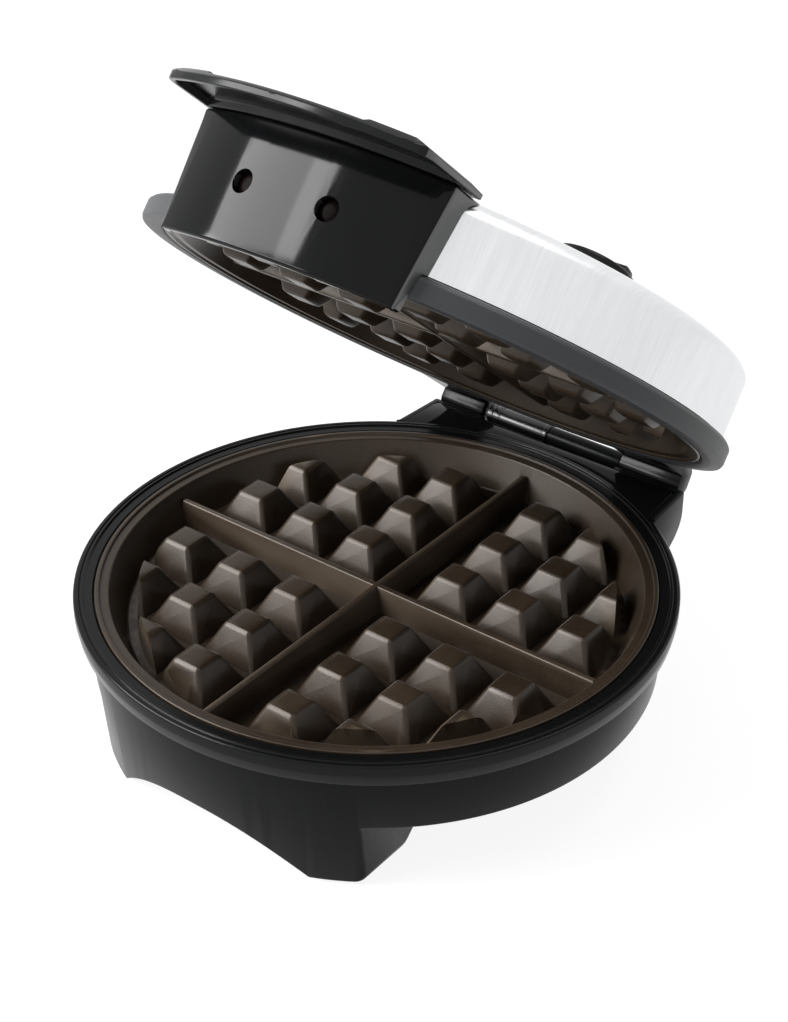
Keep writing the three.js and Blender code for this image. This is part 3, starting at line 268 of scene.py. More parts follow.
def apply_modifier(piece, kind, **values):
    take(piece)
    modifier = piece.modifiers.new(kind.title(), kind)
    for key, value in values.items():
        setattr(modifier, key, value)
    bpy.ops.object.modifier_apply(modifier=modifier.name)


def combine(piece, operation, *others):
    for other in others:
        apply_modifier(piece, "BOOLEAN", operation=operation, object=other, solver="EXACT")
        bpy.data.objects.remove(other)
    return piece


def cut(piece, *others):
    return combine(piece, "DIFFERENCE", *others)


def keep_common(piece, *others):
    return combine(piece, "INTERSECT", *others)


def unite(piece, *others):
    return combine(piece, "UNION", *others)


def gather(piece, *others):
    """Joins pieces of one part that only touch or overlap."""
    take(piece)
    for other in others:
        other.select_set(True)
    bpy.ops.object.join()
    return piece


def bevelled(piece, width, segments=2, angle=40, merge=0.12):
    edit_all(piece)
    bpy.ops.mesh.dissolve_limited(angle_limit=math.radians(0.3))
    bpy.ops.mesh.select_all(action="SELECT")
    bpy.ops.mesh.remove_doubles(threshold=merge * MM)
    leave_edit()
    apply_modifier(
        piece,
        "BEVEL",
        width=width * MM,
        segments=segments,
        limit_method="ANGLE",
        angle_limit=math.radians(angle),
        use_clamp_overlap=False,
        miter_outer="MITER_ARC",
    )
    return piece


def smoothed(piece, angle=38):
    take(piece)
    bpy.ops.object.shade_smooth_by_angle(angle=math.radians(angle))
    return piece


def copy_of(piece, name, matrix=None):
    made = piece.copy()
    made.data = piece.data.copy()
    made.name = made.data.name = name
    bpy.context.scene.collection.objects.link(made)
    if matrix is not None:
        settle(made, matrix)
    return made


def lid_turn():
    """From the lid's closed place to where it stands open."""
    s = bpy.context.scene.waffle_maker_sizes
    hinge = Vector((0, s.hinge_offset, s.hinge_height))
    return Matrix.Translation(hinge) @ Matrix.Rotation(-s.lid_angle, 4, "X") @ Matrix.Translation(-hinge)


def finished(piece, body, material, slot, *nodes, angle=38, opened=False):
    """Hides the CAD nodes a finished piece stands for, gives it its material and lets it ride on its body."""
    if opened:
        settle(piece, lid_turn())
    smoothed(piece, angle)
    piece.data.materials.clear()
    piece.data.materials.append(bpy.data.materials[material])
    if nodes:
        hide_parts(*nodes)
    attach(piece, body)
    return piece


def paint_side_sheen(piece, material):
    """Gives the walls that face left and right a lighter grey: a painted sheen for the light those sides catch, on what
    is the same black plastic.
    """
    piece.data.materials.append(bpy.data.materials[material])
    for face in piece.data.polygons:
        if abs(face.normal.x) > 0.85:
            face.material_index = 1


# ---------------------------------------------------------------- materials


def new_group(name, inputs, outputs):
    group = bpy.data.node_groups.new(name, "ShaderNodeTree")
    for label, kind, default in inputs:
        socket = group.interface.new_socket(label, in_out="INPUT", socket_type=kind)
        socket.default_value = default
    for label, kind in outputs:
        group.interface.new_socket(label, in_out="OUTPUT", socket_type=kind)
    start, end = group.nodes.new("NodeGroupInput"), group.nodes.new("NodeGroupOutput")
    return group, start, end


def maths(tree, operation, a, b=None, clamp=False):
    node = tree.nodes.new("ShaderNodeMath")
    node.operation, node.use_clamp = operation, clamp
    for i, value in enumerate((a, b)):
        if value is None:
            continue
        if isinstance(value, (int, float)):
            node.inputs[i].default_value = value
        else:
            tree.links.new(value, node.inputs[i])
    return node.outputs[0]


def noise(tree, vector, scale, detail=3.0, roughness=0.55):
    node = tree.nodes.new("ShaderNodeTexNoise")
    tree.links.new(vector, node.inputs["Vector"])
    node.inputs["Detail"].default_value = detail
    node.inputs["Roughness"].default_value = roughness
    if isinstance(scale, (int, float)):
        node.inputs["Scale"].default_value = scale
    else:
        tree.links.new(scale, node.inputs["Scale"])
    return node.outputs["Fac"]


def spread(tree, value, low, high, to_low, to_high):
    node = tree.nodes.new("ShaderNodeMapRange")
    tree.links.new(value, node.inputs["Value"])
    for key, number in zip(("From Min", "From Max", "To Min", "To Max"), (low, high, to_low, to_high)):
        if isinstance(number, (int, float)):
            node.inputs[key].default_value = number
        else:
            tree.links.new(number, node.inputs[key])
    return node.outputs["Result"]


def tinted(tree, factor, low, high):
    node = tree.nodes.new("ShaderNodeMix")
    node.data_type = "RGBA"
    tree.links.new(factor, node.inputs["Factor"])
    for key, value in zip(("A", "B"), (low, high)):
        socket = [s for s in node.inputs if s.name == key and s.type == "RGBA"][0]
        if isinstance(value, (tuple, list)):
            socket.default_value = value
        else:
            tree.links.new(value, socket)
    return [s for s in node.outputs if s.type == "RGBA"][0]


def moulded_plastic_group():
    """Fine mould grain with faint clouding: colour, roughness and height."""
    group, start, end = new_group(
        "Moulded plastic",
        [
            ("Vector", "NodeSocketVector", (0, 0, 0)),
            ("Colour", "NodeSocketColor", (0.01, 0.01, 0.01, 1)),
            ("Worn colour", "NodeSocketColor", (0.03, 0.03, 0.03, 1)),
            ("Grain scale", "NodeSocketFloat", 1500.0),
            ("Roughness", "NodeSocketFloat", 0.4),
            ("Clouding", "NodeSocketFloat", 0.06),
        ],
        [("Colour", "NodeSocketColor"), ("Roughness", "NodeSocketFloat"), ("Height", "NodeSocketFloat")],
    )
    vector = start.outputs["Vector"]
    grain = noise(group, vector, start.outputs["Grain scale"], 2.0)
    cloud = noise(group, vector, 22.0, 4.0)
    smears = noise(group, vector, 95.0, 3.0, 0.7)
    haze = maths(group, "MULTIPLY", spread(group, cloud, 0.42, 0.72, 0.0, 1.0), spread(group, smears, 0.4, 0.75, 0.3, 1.0))
    group.links.new(tinted(group, maths(group, "MULTIPLY", haze, 0.35), start.outputs["Colour"], start.outputs["Worn colour"]), end.inputs["Colour"])
    rough = maths(group, "ADD", start.outputs["Roughness"], maths(group, "MULTIPLY", haze, start.outputs["Clouding"]))
    group.links.new(rough, end.inputs["Roughness"])
    group.links.new(grain, end.inputs["Height"])
    return group


def drawn_metal_group():
    """Fine drawn lines along one direction of the given vector: colour, roughness and height."""
    group, start, end = new_group(
        "Drawn metal",
        [
            ("Vector", "NodeSocketVector", (0, 0, 0)),
            ("Light", "NodeSocketColor", (0.8, 0.8, 0.8, 1)),
            ("Dark", "NodeSocketColor", (0.6, 0.6, 0.6, 1)),
            ("Roughness", "NodeSocketFloat", 0.3),
            ("Spread", "NodeSocketFloat", 0.1),
        ],
        [("Colour", "NodeSocketColor"), ("Roughness", "NodeSocketFloat"), ("Height", "NodeSocketFloat")],
    )
    vector = start.outputs["Vector"]
    lines = noise(group, vector, 1.0, 4.0, 0.62)
    broad = noise(group, vector, 0.17, 2.0)
    both = maths(group, "ADD", maths(group, "MULTIPLY", lines, 0.7), maths(group, "MULTIPLY", broad, 0.3))
    factor = spread(group, both, 0.34, 0.66, 0.0, 1.0)
    group.links.new(tinted(group, factor, start.outputs["Dark"], start.outputs["Light"]), end.inputs["Colour"])
    rough = maths(group, "ADD", start.outputs["Roughness"], maths(group, "MULTIPLY", factor, start.outputs["Spread"]))
    group.links.new(rough, end.inputs["Roughness"])
    group.links.new(both, end.inputs["Height"])
    return group


def new_material(name):
    made = bpy.data.materials.new(name)
    made.use_nodes = True
    tree = made.node_tree
    shader = next(n for n in tree.nodes if n.type == "BSDF_PRINCIPLED")
    place = tree.nodes.new("ShaderNodeTexCoord")
    return made, tree, shader, place.outputs["Object"]


def fed_by(tree, group, **values):
    node = tree.nodes.new("ShaderNodeGroup")
    node.node_tree = group
    for key, value in values.items():
        socket = node.inputs[key.replace("_", " ")]
        if hasattr(value, "is_output"):
            tree.links.new(value, socket)
        else:
            socket.default_value = value
    return node


def raise_bumps(tree, shader, height, distance, strength=1.0):
    bump = tree.nodes.new("ShaderNodeBump")
    bump.inputs["Distance"].default_value = distance
    bump.inputs["Strength"].default_value = strength
    tree.links.new(height, bump.inputs["Height"])
    tree.links.new(bump.outputs["Normal"], shader.inputs["Normal"])


def mapped(tree, vector, scale=(1, 1, 1), rotation=(0, 0, 0), location=(0, 0, 0)):
    node = tree.nodes.new("ShaderNodeMapping")
    node.inputs["Scale"].default_value = scale
    node.inputs["Rotation"].default_value = rotation
    node.inputs["Location"].default_value = location
    tree.links.new(vector, node.inputs["Vector"])
    return node.outputs["Vector"]


def rgba(colour, factor=1.0):
    return tuple(c * factor for c in colour) + (1.0,)


def plastic(name, group, colour, worn, roughness, grain=1500.0, bump=0.00002, clouding=0.06, specular=0.5, coat=0.0):
    made, tree, shader, place = new_material(name)
    look = fed_by(
        tree, group, Vector=place, Colour=rgba(colour), Worn_colour=rgba(worn),
        Grain_scale=grain, Roughness=roughness, Clouding=clouding,
    )
    tree.links.new(look.outputs["Colour"], shader.inputs["Base Color"])
    tree.links.new(look.outputs["Roughness"], shader.inputs["Roughness"])
    shader.inputs["Specular IOR Level"].default_value = specular
    shader.inputs["Coat Weight"].default_value = coat
    shader.inputs["Coat Roughness"].default_value = 0.06
    if bump:
        raise_bumps(tree, shader, look.outputs["Height"], bump)
    return made


def metal(name, group, light, dark, roughness, spread_by, stretch, rotation=(0, 0, 0), metallic=1.0, bump=0.000004, anisotropic=0.0):
    made, tree, shader, place = new_material(name)
    vector = mapped(tree, mapped(tree, place, rotation=rotation), scale=stretch)
    look = fed_by(
        tree, group, Vector=vector, Light=rgba(light), Dark=rgba(dark), Roughness=roughness, Spread=spread_by
    )
    tree.links.new(look.outputs["Colour"], shader.inputs["Base Color"])
    tree.links.new(look.outputs["Roughness"], shader.inputs["Roughness"])
    shader.inputs["Metallic"].default_value = metallic
    shader.inputs["Anisotropic"].default_value = anisotropic
    raise_bumps(tree, shader, look.outputs["Height"], bump)
    return made


def coated_plate(name, colour):
    """Non-stick coating on cast aluminium: dark brown, warmed a little as a painted reflection of a golden waffle that
    is not built, with fine speckle and thinner at raised edges.
    """
    made, tree, shader, place = new_material(name)
    fine = noise(tree, place, 1700.0, 2.0)
    cloud = noise(tree, place, 38.0, 4.0, 0.6)
    factor = spread(tree, maths(tree, "ADD", maths(tree, "MULTIPLY", fine, 0.5), maths(tree, "MULTIPLY", cloud, 0.5)), 0.38, 0.66, 0.0, 1.0)
    base = tinted(tree, factor, rgba(colour, 0.75), rgba(colour, 1.35))
    edge = tree.nodes.new("ShaderNodeNewGeometry").outputs["Pointiness"]
    worn = spread(tree, edge, 0.53, 0.62, 0.0, 0.7)
    tree.links.new(tinted(tree, worn, base, (0.085, 0.064, 0.045, 1)), shader.inputs["Base Color"])
    tree.links.new(spread(tree, cloud, 0.3, 0.75, 0.27, 0.42), shader.inputs["Roughness"])
    shader.inputs["Metallic"].default_value = 0.2
    shader.inputs["Specular IOR Level"].default_value = 0.32
    raise_bumps(tree, shader, fine, 0.00002)
    return made


def lamp_glass(name):
    made, tree, shader, place = new_material(name)
    rings = noise(tree, place, 420.0, 2.0)
    tree.links.new(tinted(tree, rings, (0.0022, 0.0014, 0.0012, 1), (0.004, 0.002, 0.0016, 1)), shader.inputs["Base Color"])
    tree.links.new(spread(tree, rings, 0.3, 0.7, 0.3, 0.4), shader.inputs["Roughness"])
    shader.inputs["Specular IOR Level"].default_value = 0.02
    raise_bumps(tree, shader, rings, 0.00003)
    return made


CARRIED = {
    "base_bottom_cover": "Housing plastic",
    "bottom_cover_screw": "Zinc steel",
    "hinge_pin_left": "Zinc steel",
    "hinge_wire_tube_right": "Zinc steel",
    "terminal_block": "Ceramic",
    "heating_element": "Element steel",
    "heat_reflector": "Bright sheet",
    "element_clamp": "Zinc steel",
    "clamp_screw": "Zinc steel",
    "plate_screw": "Zinc steel",
    "reflector_screw": "Zinc steel",
    "thermal_fuse_clip": "Zinc steel",
    "thermal_fuse": "Ceramic",
    "lamp_holder": "Handle plastic",
    "neon_lamp": "Lamp glass",
    "front_housing_screw": "Zinc steel",
    "thermostat": "Ceramic",
    "dial_shaft": "Zinc steel",
}


class WAFFLE_OT_materials(bpy.types.Operator):
    """Makes the finishes and gives them to the CAD nodes that stay"""

    bl_idname = "waffle.materials"
    bl_label = "Finishes"

    def execute(self, context):
        colours = context.scene.waffle_maker_colours
        moulded, drawn = moulded_plastic_group(), drawn_metal_group()
        gloss = tuple(colours.gloss_black)
        satin = tuple(colours.satin_black)
        grey = tuple(colours.dark_grey)
        steel = tuple(colours.steel)
        lid_back = (context.scene.waffle_maker_sizes.lid_angle, 0, 0)
        plastic("Gloss plastic", moulded, gloss, (0.006, 0.0062, 0.0065), 0.08, 900.0, 0.000002, 0.04, 0.13)
        # The same black plastic painted lighter grey for walls that face left and right: a painted sheen, not a
        # different plastic.
        plastic("Side painted sheen", moulded, (0.026, 0.027, 0.028), (0.034, 0.035, 0.036), 0.3, 1300.0, 0.00001, 0.06, 1.0)
        plastic("Rim plastic", moulded, gloss, (0.007, 0.0072, 0.0074), 0.2, 1500.0, 0.000006, 0.06, 0.13)
        plastic("Barrel plastic", moulded, gloss, (0.01, 0.01, 0.01), 0.24, 1500.0, 0.000004, 0.05, 0.6)
        plastic("Housing plastic", moulded, satin, (0.009, 0.0093, 0.0097), 0.26, 1400.0, 0.00001, 0.06, 0.09)
        plastic("Handle plastic", moulded, tuple(c * 1.3 for c in satin), (0.013, 0.0133, 0.0137), 0.17, 1500.0, 0.000004, 0.06, 0.15)
        plastic("Ring plastic", moulded, grey, (0.042, 0.044, 0.047), 0.46, 1300.0, 0.00003, 0.08, 0.4)
        plastic("Rubber", moulded, (0.012, 0.012, 0.012), (0.03, 0.03, 0.03), 0.8, 900.0, 0.00004, 0.1, 0.3)
        plastic("Ceramic", moulded, (0.62, 0.58, 0.5), (0.5, 0.46, 0.4), 0.7, 1200.0, 0.00003, 0.1, 0.4)
        metal("Brushed steel", drawn, steel, tuple(c * 0.9 for c in steel), 0.26, 0.1, (2600, 60, 60), lid_back, 1.0, 0.0000025, 0.35)
        metal("Zinc steel", drawn, (0.42, 0.43, 0.45), (0.3, 0.31, 0.33), 0.3, 0.12, (900, 900, 200))
        metal("Element steel", drawn, (0.2, 0.19, 0.18), (0.11, 0.1, 0.095), 0.42, 0.15, (1200, 300, 900))
        metal("Bright sheet", drawn, (0.62, 0.63, 0.65), (0.5, 0.51, 0.53), 0.22, 0.12, (120, 1800, 600))
        coated_plate("Plate coating", tuple(colours.coating))
        lamp_glass("Lamp glass")
        for name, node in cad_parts.items():
            for part, material in CARRIED.items():
                if part in name:
                    node.data.materials.clear()
                    node.data.materials.append(bpy.data.materials[material])
                    break
        return {"FINISHED"}


# ---------------------------------------------------------------- base


def drum_radius(z):
    return 100.3 - 4.1 * (47.45 - z) / 47.45


def drum_core(name, inset, low, high):
    return turned(name, [(0, low), (drum_radius(low) - inset, low), (drum_radius(high) - inset, high), (0, high)])


def foot_outline(arch):
    """Front view under the apron: what is cut away below the drum, round the two feet."""
    points = [(-130, -6), (-130, 25.7), (-56.2, 25.7)]
    points += [(-56.2 + 3.5 * (1 - math.cos(a)), 1 + 3.5 * (1 - math.sin(a))) for a in [i * math.pi / 12 for i in range(7)]]
    if arch:
        points += [(40 * t, 1 + 17.3 * (1 - abs(t) ** 2.2)) for t in [i / 20 - 1 for i in range(41)]]
    else:
        points += [(-40, 1), (-40, 25.7), (40, 25.7), (40, 1)]
    points += [(56.2 - 3.5 * (1 - math.cos(a)), 1 + 3.5 * (1 - math.sin(a))) for a in [i * math.pi / 12 for i in range(6, -1, -1)]]
    return points + [(56.2, 25.7), (130, 25.7), (130, -6)]


def tower(name, inset, top):
    """The moulding that carries the hinge: upright at the back and rounded under."""
    front, rear = 58.8 - inset, 56.6 - inset
    back = 110.9
    plan = pushed(name, [(-front, 80), (front, 80), (rear, back - inset), (-rear, back - inset)], "z", 0, top)
    side = [(80, top), (back - inset, top)]
    for i in range(13):
        a = i * math.pi / 24
        side.append((back - 24 + (24 - inset) * math.cos(a), 46.2 - (14.4 - inset) * math.sin(a)))
    side.append((80, 31.8 + inset))
    return keep_common(plan, pushed("Tower side", side, "x", -70, 70))


class WAFFLE_OT_housing(bpy.types.Operator):
    """Drum with its apron, feet and the tower that carries the hinge"""

    bl_idname = "waffle.housing"
    bl_label = "Base housing"

    def execute(self, context):
        drum = drum_core("base_drum", 0, 0, 47.15)
        front = pushed("Front cut", foot_outline(True), "y", -130, 0)
        rear = pushed("Rear cut", foot_outline(False), "y", 0, 130)
        cut(drum, front, rear)
        slope = pushed("Slope cut", [(-59, -6), (-59, 1), (-33.3, 25.7), (33.3, 25.7), (59, 1), (59, -6)], "x", -130, 130)
        cut(drum, slope)
        apron_room = pushed("Apron room", [(-40, -6), (40, -6), (40, 25.7), (-40, 25.7)], "y", -130, 130)
        keep_common(apron_room, drum_core("Apron room core", 2.4, -8, 30))
        cut(drum, apron_room)
        unite(drum, tower("Tower", 0, 55.1))
        cut(drum, turned("Ring room", [(0, 47.15), (104.3, 47.15), (104.3, 60), (0, 60)]))
        bevelled(drum, 0.9, 3, 38)
        inner = unite(drum_core("Room", 2.4, 27.7, 50), tower("Tower room", 2.4, 60))
        cut(drum, inner)
        cut(drum, pushed("Web room", [(-33.3, 49.96), (27.3, 49.96), (27.3, 60), (-33.3, 60)], "y", 106, 114))
        cut(drum, rod("Inlet hole", 5.5, "y", 100, 114, (0, 0, 43.4)))
        finished(drum, "base", "Housing plastic", "satin_black", "base_housing")
        for end, sy in (("front", -1), ("rear", 1)):
            for side, sx in (("left", -1), ("right", 1)):
                profile = rounded([(0, 0), (5.4, 0, 0.6), (6.4, 0.9, 0.5), (6.4, 2.6), (0, 2.6)], 3)
                pad = turned(f"foot_pad_{end}_{side}", profile, 48, (sx * 48.1, sy * 69.4))
                finished(pad, "base", "Rubber", "rubber", f"{end}_{side}_foot_pad")
        return {"FINISHED"}


class WAFFLE_OT_rim(bpy.types.Operator):
    """Rim ring, rear deck, the fixed part of the hinge and the mains inlet"""

    bl_idname = "waffle.rim"
    bl_label = "Rim and deck"

    def execute(self, context):
        s = sizes()
        top, edge = s["rim_top"], s["rim_radius"]
        well = s["plate_radius"] + 0.3
        ledge = s["parting_height"] - 3.9
        profile = rounded([
            (94.8, 47.45), (edge - 0.7, 47.45, 0.6), (edge, top - 4, 1.5), (edge, top, 1.5),
            (edge - 1.75, top, 0.3), (edge - 2.1, top - 0.55, 0.15), (edge - 2.45, top, 0.3),
            (edge - 3.2, top, 0.35), (edge - 3.7, top - 0.65, 0.25), (well + 0.5, top - 0.65, 0.2),
            (well, top - 1.1, 0.2), (well, ledge), (94.8, ledge),
        ], 4)
        rim = turned("base_rim", profile)
        finished(rim, "base", "Rim plastic", "gloss_black", "base_rim_and_deck", angle=50)
        deck = pushed("rear_deck", rounded([(-56, 80), (56, 80), (53.9, 108.2, 2.5), (-53.9, 108.2, 2.5)], 4), "z", top - 6, top)
        cut(deck, turned("Rim room", [(0, 40), (edge - 1.2, 40), (edge - 1.2, 70), (0, 70)]))
        bevelled(deck, 0.5, 2)
        web = pushed("Web", [(-33, 50.2), (27, 50.2), (27, 52.5), (-33, 52.5)], "y", 106, s["hinge_offset"])
        lugs = []
        for angle in (-10, 110, 230):
            lug = pushed("Lug", [(80, 34.9), (96.5, 34.9), (96.5, 50.9), (95.0, 50.9), (95.0, 37.9), (80, 37.9)], "y", -5, 5)
            lugs.append(settle(lug, Matrix.Rotation(math.radians(angle), 4, "Z")))
        gather(deck, web, *lugs)
        finished(deck, "base", "Gloss plastic", "gloss_black")
        hinge = (0, s["hinge_offset"], s["hinge_height"])
        barrel = rod("hinge_barrel", 3.9, "x", -33, -5.5, hinge, 64, 0.5, 1.9)
        collars = [rod("Collar", 4.1, "x", a, b, hinge, 64, 0.4, 2.4) for a, b in ((-33, -30.4), (-29.9, -27.2), (-7.6, -5.6))]
        gather(barrel, *collars)
        finished(barrel, "base", "Barrel plastic", "gloss_black")
        sleeve = rod("hinge_sleeve", 3.5, "x", -5.5, 27, hinge, 64, 0.4, 2.3)
        finished(sleeve, "base", "Housing plastic", "gloss_black")
        bush = turned("cord_bush", rounded([(3.4, -6, 0.4), (5.2, -6), (5.2, 0), (6.2, 0, 0.3), (6.2, 1.4, 0.6), (3.4, 1.4, 0.5)], 3), 48)
        settle(bush, Matrix.Translation(Vector((0, 111.2, 43.4)) * MM) @ Matrix.Rotation(-math.pi / 2, 4, "X"))
        finished(bush, "base", "Rubber", "rubber", "cord_inlet_bush")
        return {"FINISHED"}


# ---------------------------------------------------------------- cooking plates


def stud():
    """One pyramid stud with its top and corners rounded, standing on height 0."""
    deselect_all()
    bpy.ops.mesh.primitive_cube_add(size=2)
    piece = bpy.context.object
    piece.name = "Stud"
    height = sizes()["stud_height"]
    sunk = 1.5
    base, tip = 22.6 / 2, 11 / 2
    low = base + (base - tip) * sunk / height
    for vertex in piece.data.vertices:
        up = vertex.co.z > 0
        wide = tip if up else low
        vertex.co = Vector((math.copysign(wide, vertex.co.x), math.copysign(wide, vertex.co.y), height if up else -sunk)) * MM
    bevel_edges(piece, lambda a, b: abs(a.z - b.z) > 1e-4, 1.6, 3)
    bevel_edges(piece, lambda a, b: min(a.z, b.z) > (height - 0.05) * MM, 0.9, 3)
    return piece


def bevel_edges(piece, chosen, width, segments):
    """Bevels the edges whose two ends pass a test."""
    edit_all(piece)
    bpy.ops.mesh.select_all(action="DESELECT")
    leave_edit()
    v = piece.data.vertices
    for edge in piece.data.edges:
        edge.select = chosen(v[edge.vertices[0]].co, v[edge.vertices[1]].co)
    bpy.ops.object.mode_set(mode="EDIT")
    bpy.ops.mesh.select_mode(type="EDGE")
    bpy.ops.mesh.bevel(offset=width * MM, segments=segments, affect="EDGES")
    bpy.ops.mesh.select_mode(type="VERT")
    leave_edit()


def cooking_plate(name):
    """Plate with its food side up and the parting plane at height 0."""
    s = sizes()
    radius, floor = s["plate_radius"], -(1.6 + s["pocket_depth"])
    pocket = radius - 4.8
    back = floor - 3
    plate = turned(name, rounded([
        (0, back), (pocket - 5.4, back, 1.5), (pocket - 0.2, (back - 3.6) / 2, 2), (pocket + 2.5, -3.6),
        (radius, -3.6, 0.3), (radius, -0.7, 0.5), (radius - 1.6, -0.75, 0.5), (radius - 1.9, -1.6, 0.2),
        (pocket, -1.6, 0.8), (pocket - 5.4, floor, 1.6), (0, floor),
    ], 4))
    first = stud()
    studs = []
    for i in range(3):
        for k in range(3):
            x, y = 20 + 25.2 * i, 20 + 25.2 * k
            if math.hypot(x, y) - 5.5 > 83.5:
                continue
            for sx, sy in ((1, 1), (1, -1), (-1, 1), (-1, -1)):
                studs.append(copy_of(first, "Stud copy", Matrix.Translation(Vector((sx * x, sy * y, floor)) * MM)))
    bpy.data.objects.remove(first)
    field = gather(studs[0], *studs[1:])
    keep_common(field, turned("Stud limit", [(0, -30), (83.5, -30), (82.3, 0), (0, 0)], 96))
    shape = rounded([(-3.1, floor - 1.5), (3.1, floor - 1.5), (1.1, floor + 9.6, 0.8), (-1.1, floor + 9.6, 0.8)], 3)
    ridge = unite(pushed("Ridge", shape, "y", -89.3, 89.3), pushed("Ridge", shape, "x", -89.3, 89.3))
    keep_common(ridge, turned("Ridge limit", [(0, -17), (87.4, -17), (pocket, -1.6), (0, -1.6)], 96))
    unite(plate, ridge, field)
    boss = rod("Boss", 5, "z", -25.2, back + 1)
    return gather(plate, boss)


class WAFFLE_OT_plates(bpy.types.Operator):
    """The two studded cooking plates"""

    bl_idname = "waffle.plates"
    bl_label = "Cooking plates"

    def execute(self, context):
        parting = sizes()["parting_height"]
        lower = cooking_plate("lower_plate")
        upper = copy_of(lower, "upper_plate")
        up = Matrix.Translation((0, 0, parting * MM))
        settle(lower, up)
        settle(upper, up @ Matrix.Rotation(math.pi, 4, "Y"))
        finished(lower, "base", "Plate coating", "non_stick", "lower_cooking_plate", angle=32)
        finished(upper, "lid", "Plate coating", "non_stick", "upper_cooking_plate", angle=32, opened=True)
        return {"FINISHED"}


# ---------------------------------------------------------------- lid


class WAFFLE_OT_lid_ring(bpy.types.Operator):
    """Ring that carries the upper plate, with the two hinge arms"""

    bl_idname = "waffle.lid_ring"
    bl_label = "Lid ring"

    def execute(self, context):
        s = sizes()
        low = s["parting_height"] + 0.4
        well = s["plate_radius"] + 0.3
        ledge = s["parting_height"] + 3.9
        edge = 104.7
        ring = turned("lid_ring_moulding", rounded([
            (94.8, ledge), (well, ledge), (well, low, 0.9), (edge - 3.6, low, 0.5), (edge - 0.5, low + 0.3, 0.6),
            (edge, low + 1.5, 0.6), (edge, low + 6.2, 1.2), (edge - 1.1, low + 7.4, 0.5), (101.2, low + 8.0, 0.3),
            (99.5, low + 8.0), (99.5, low + 12), (97.5, low + 12), (96.9, ledge + 2.7), (94.8, ledge + 2),
        ], 4))
        finished(ring, "lid", "Ring plastic", "dark_grey", "lid_ring", angle=50, opened=True)
        y, z = s["hinge_offset"], s["hinge_height"]
        base = low + 0.4
        shape = [(90.1, base), (y - 4.1, base)]
        shape += [(y + 4.1 * math.cos(a), z + 4.1 * math.sin(a)) for a in [math.pi + i * math.pi / 20 for i in range(21)]]
        shape += rounded([(y + 4.1, z + 0.5), (y + 3.2, base + 4, 2.5), (104, base + 7.2, 6), (90.1, base + 7.2)], 5)[1:]
        arms = []
        for low_x, high_x in ((-55, -35.2), (27.3, 53.3)):
            arm = pushed("Arm", shape, "x", low_x, high_x)
            bevelled(arm, 0.45, 2, 50)
            arms.append(arm)
        cut(gather(*arms), turned("Ring room", [(0, 30), (100, 30), (100, 90), (0, 90)]))
        arms[0].name = arms[0].data.name = "hinge_arms"
        lugs = []
        for angle in (-10, 110, 230):
            lug = pushed("Lug", [(80, 76.7), (96.5, 76.7), (96.5, 60.7), (95.0, 60.7), (95.0, 73.7), (80, 73.7)], "y", -5, 5)
            lugs.append(settle(lug, Matrix.Rotation(math.radians(180 - angle), 4, "Z")))
        gather(arms[0], *lugs)
        finished(arms[0], "lid", "Rim plastic", "dark_grey", angle=40, opened=True)
        return {"FINISHED"}


SHELL_LOW, SHELL_SHOULDER, CROWN_TOP, CROWN_RISE, CROWN_RADIUS = 64.5, 84.6, 97.2, 6.0, 87.8


def crown_height(radius):
    return CROWN_TOP - CROWN_RISE * (radius / CROWN_RADIUS) ** 2


def shell_line(offset):
    """The outside of the shell from its lower edge to the middle of its crown."""
    points = [(101 + offset, SHELL_LOW)]
    for i in range(9):
        a = i * math.pi / 16
        points.append((87.8 + (13 + offset) * math.cos(a), SHELL_SHOULDER + (6.6 + offset) * math.sin(a)))
    for i in range(15, -1, -1):
        r = CROWN_RADIUS * i / 16
        points.append((r, crown_height(r) + offset))
    return points


class WAFFLE_OT_lid_shell(bpy.types.Operator):
    """Pressed steel shell with its rounded shoulder"""

    bl_idname = "waffle.lid_shell"
    bl_label = "Lid shell"

    def execute(self, context):
        outside, inside = shell_line(0), shell_line(-1.2)
        shell = turned("lid_shell_pressing", outside + inside[::-1])
        window = pushed("Lamp window", rounded([(-28, 60), (28, 60), (28, 78.5, 2), (-28, 78.5, 2)], 4), "y", -105, -91)
        neck = rod("Neck hole", 5, "z", -9, 9, steps=32)
        settle(neck, dial_frame())
        cut(shell, window, neck)
        finished(shell, "lid", "Brushed steel", "brushed_steel", "lid_shell", angle=35, opened=True)
        return {"FINISHED"}


def box_core(name, inset, low, high, radius, back=-80):
    wide = [44.4 + 3.2 * (z - 50.9) / 39.6 - inset for z in (low, high)]
    core = pushed(name, [(-wide[0], low), (wide[0], low), (wide[1], high), (-wide[1], high)], "y", -130, back)
    return keep_common(core, turned("Front curve", [(0, 30), (radius, 30), (radius, 110), (0, 110)], 240))


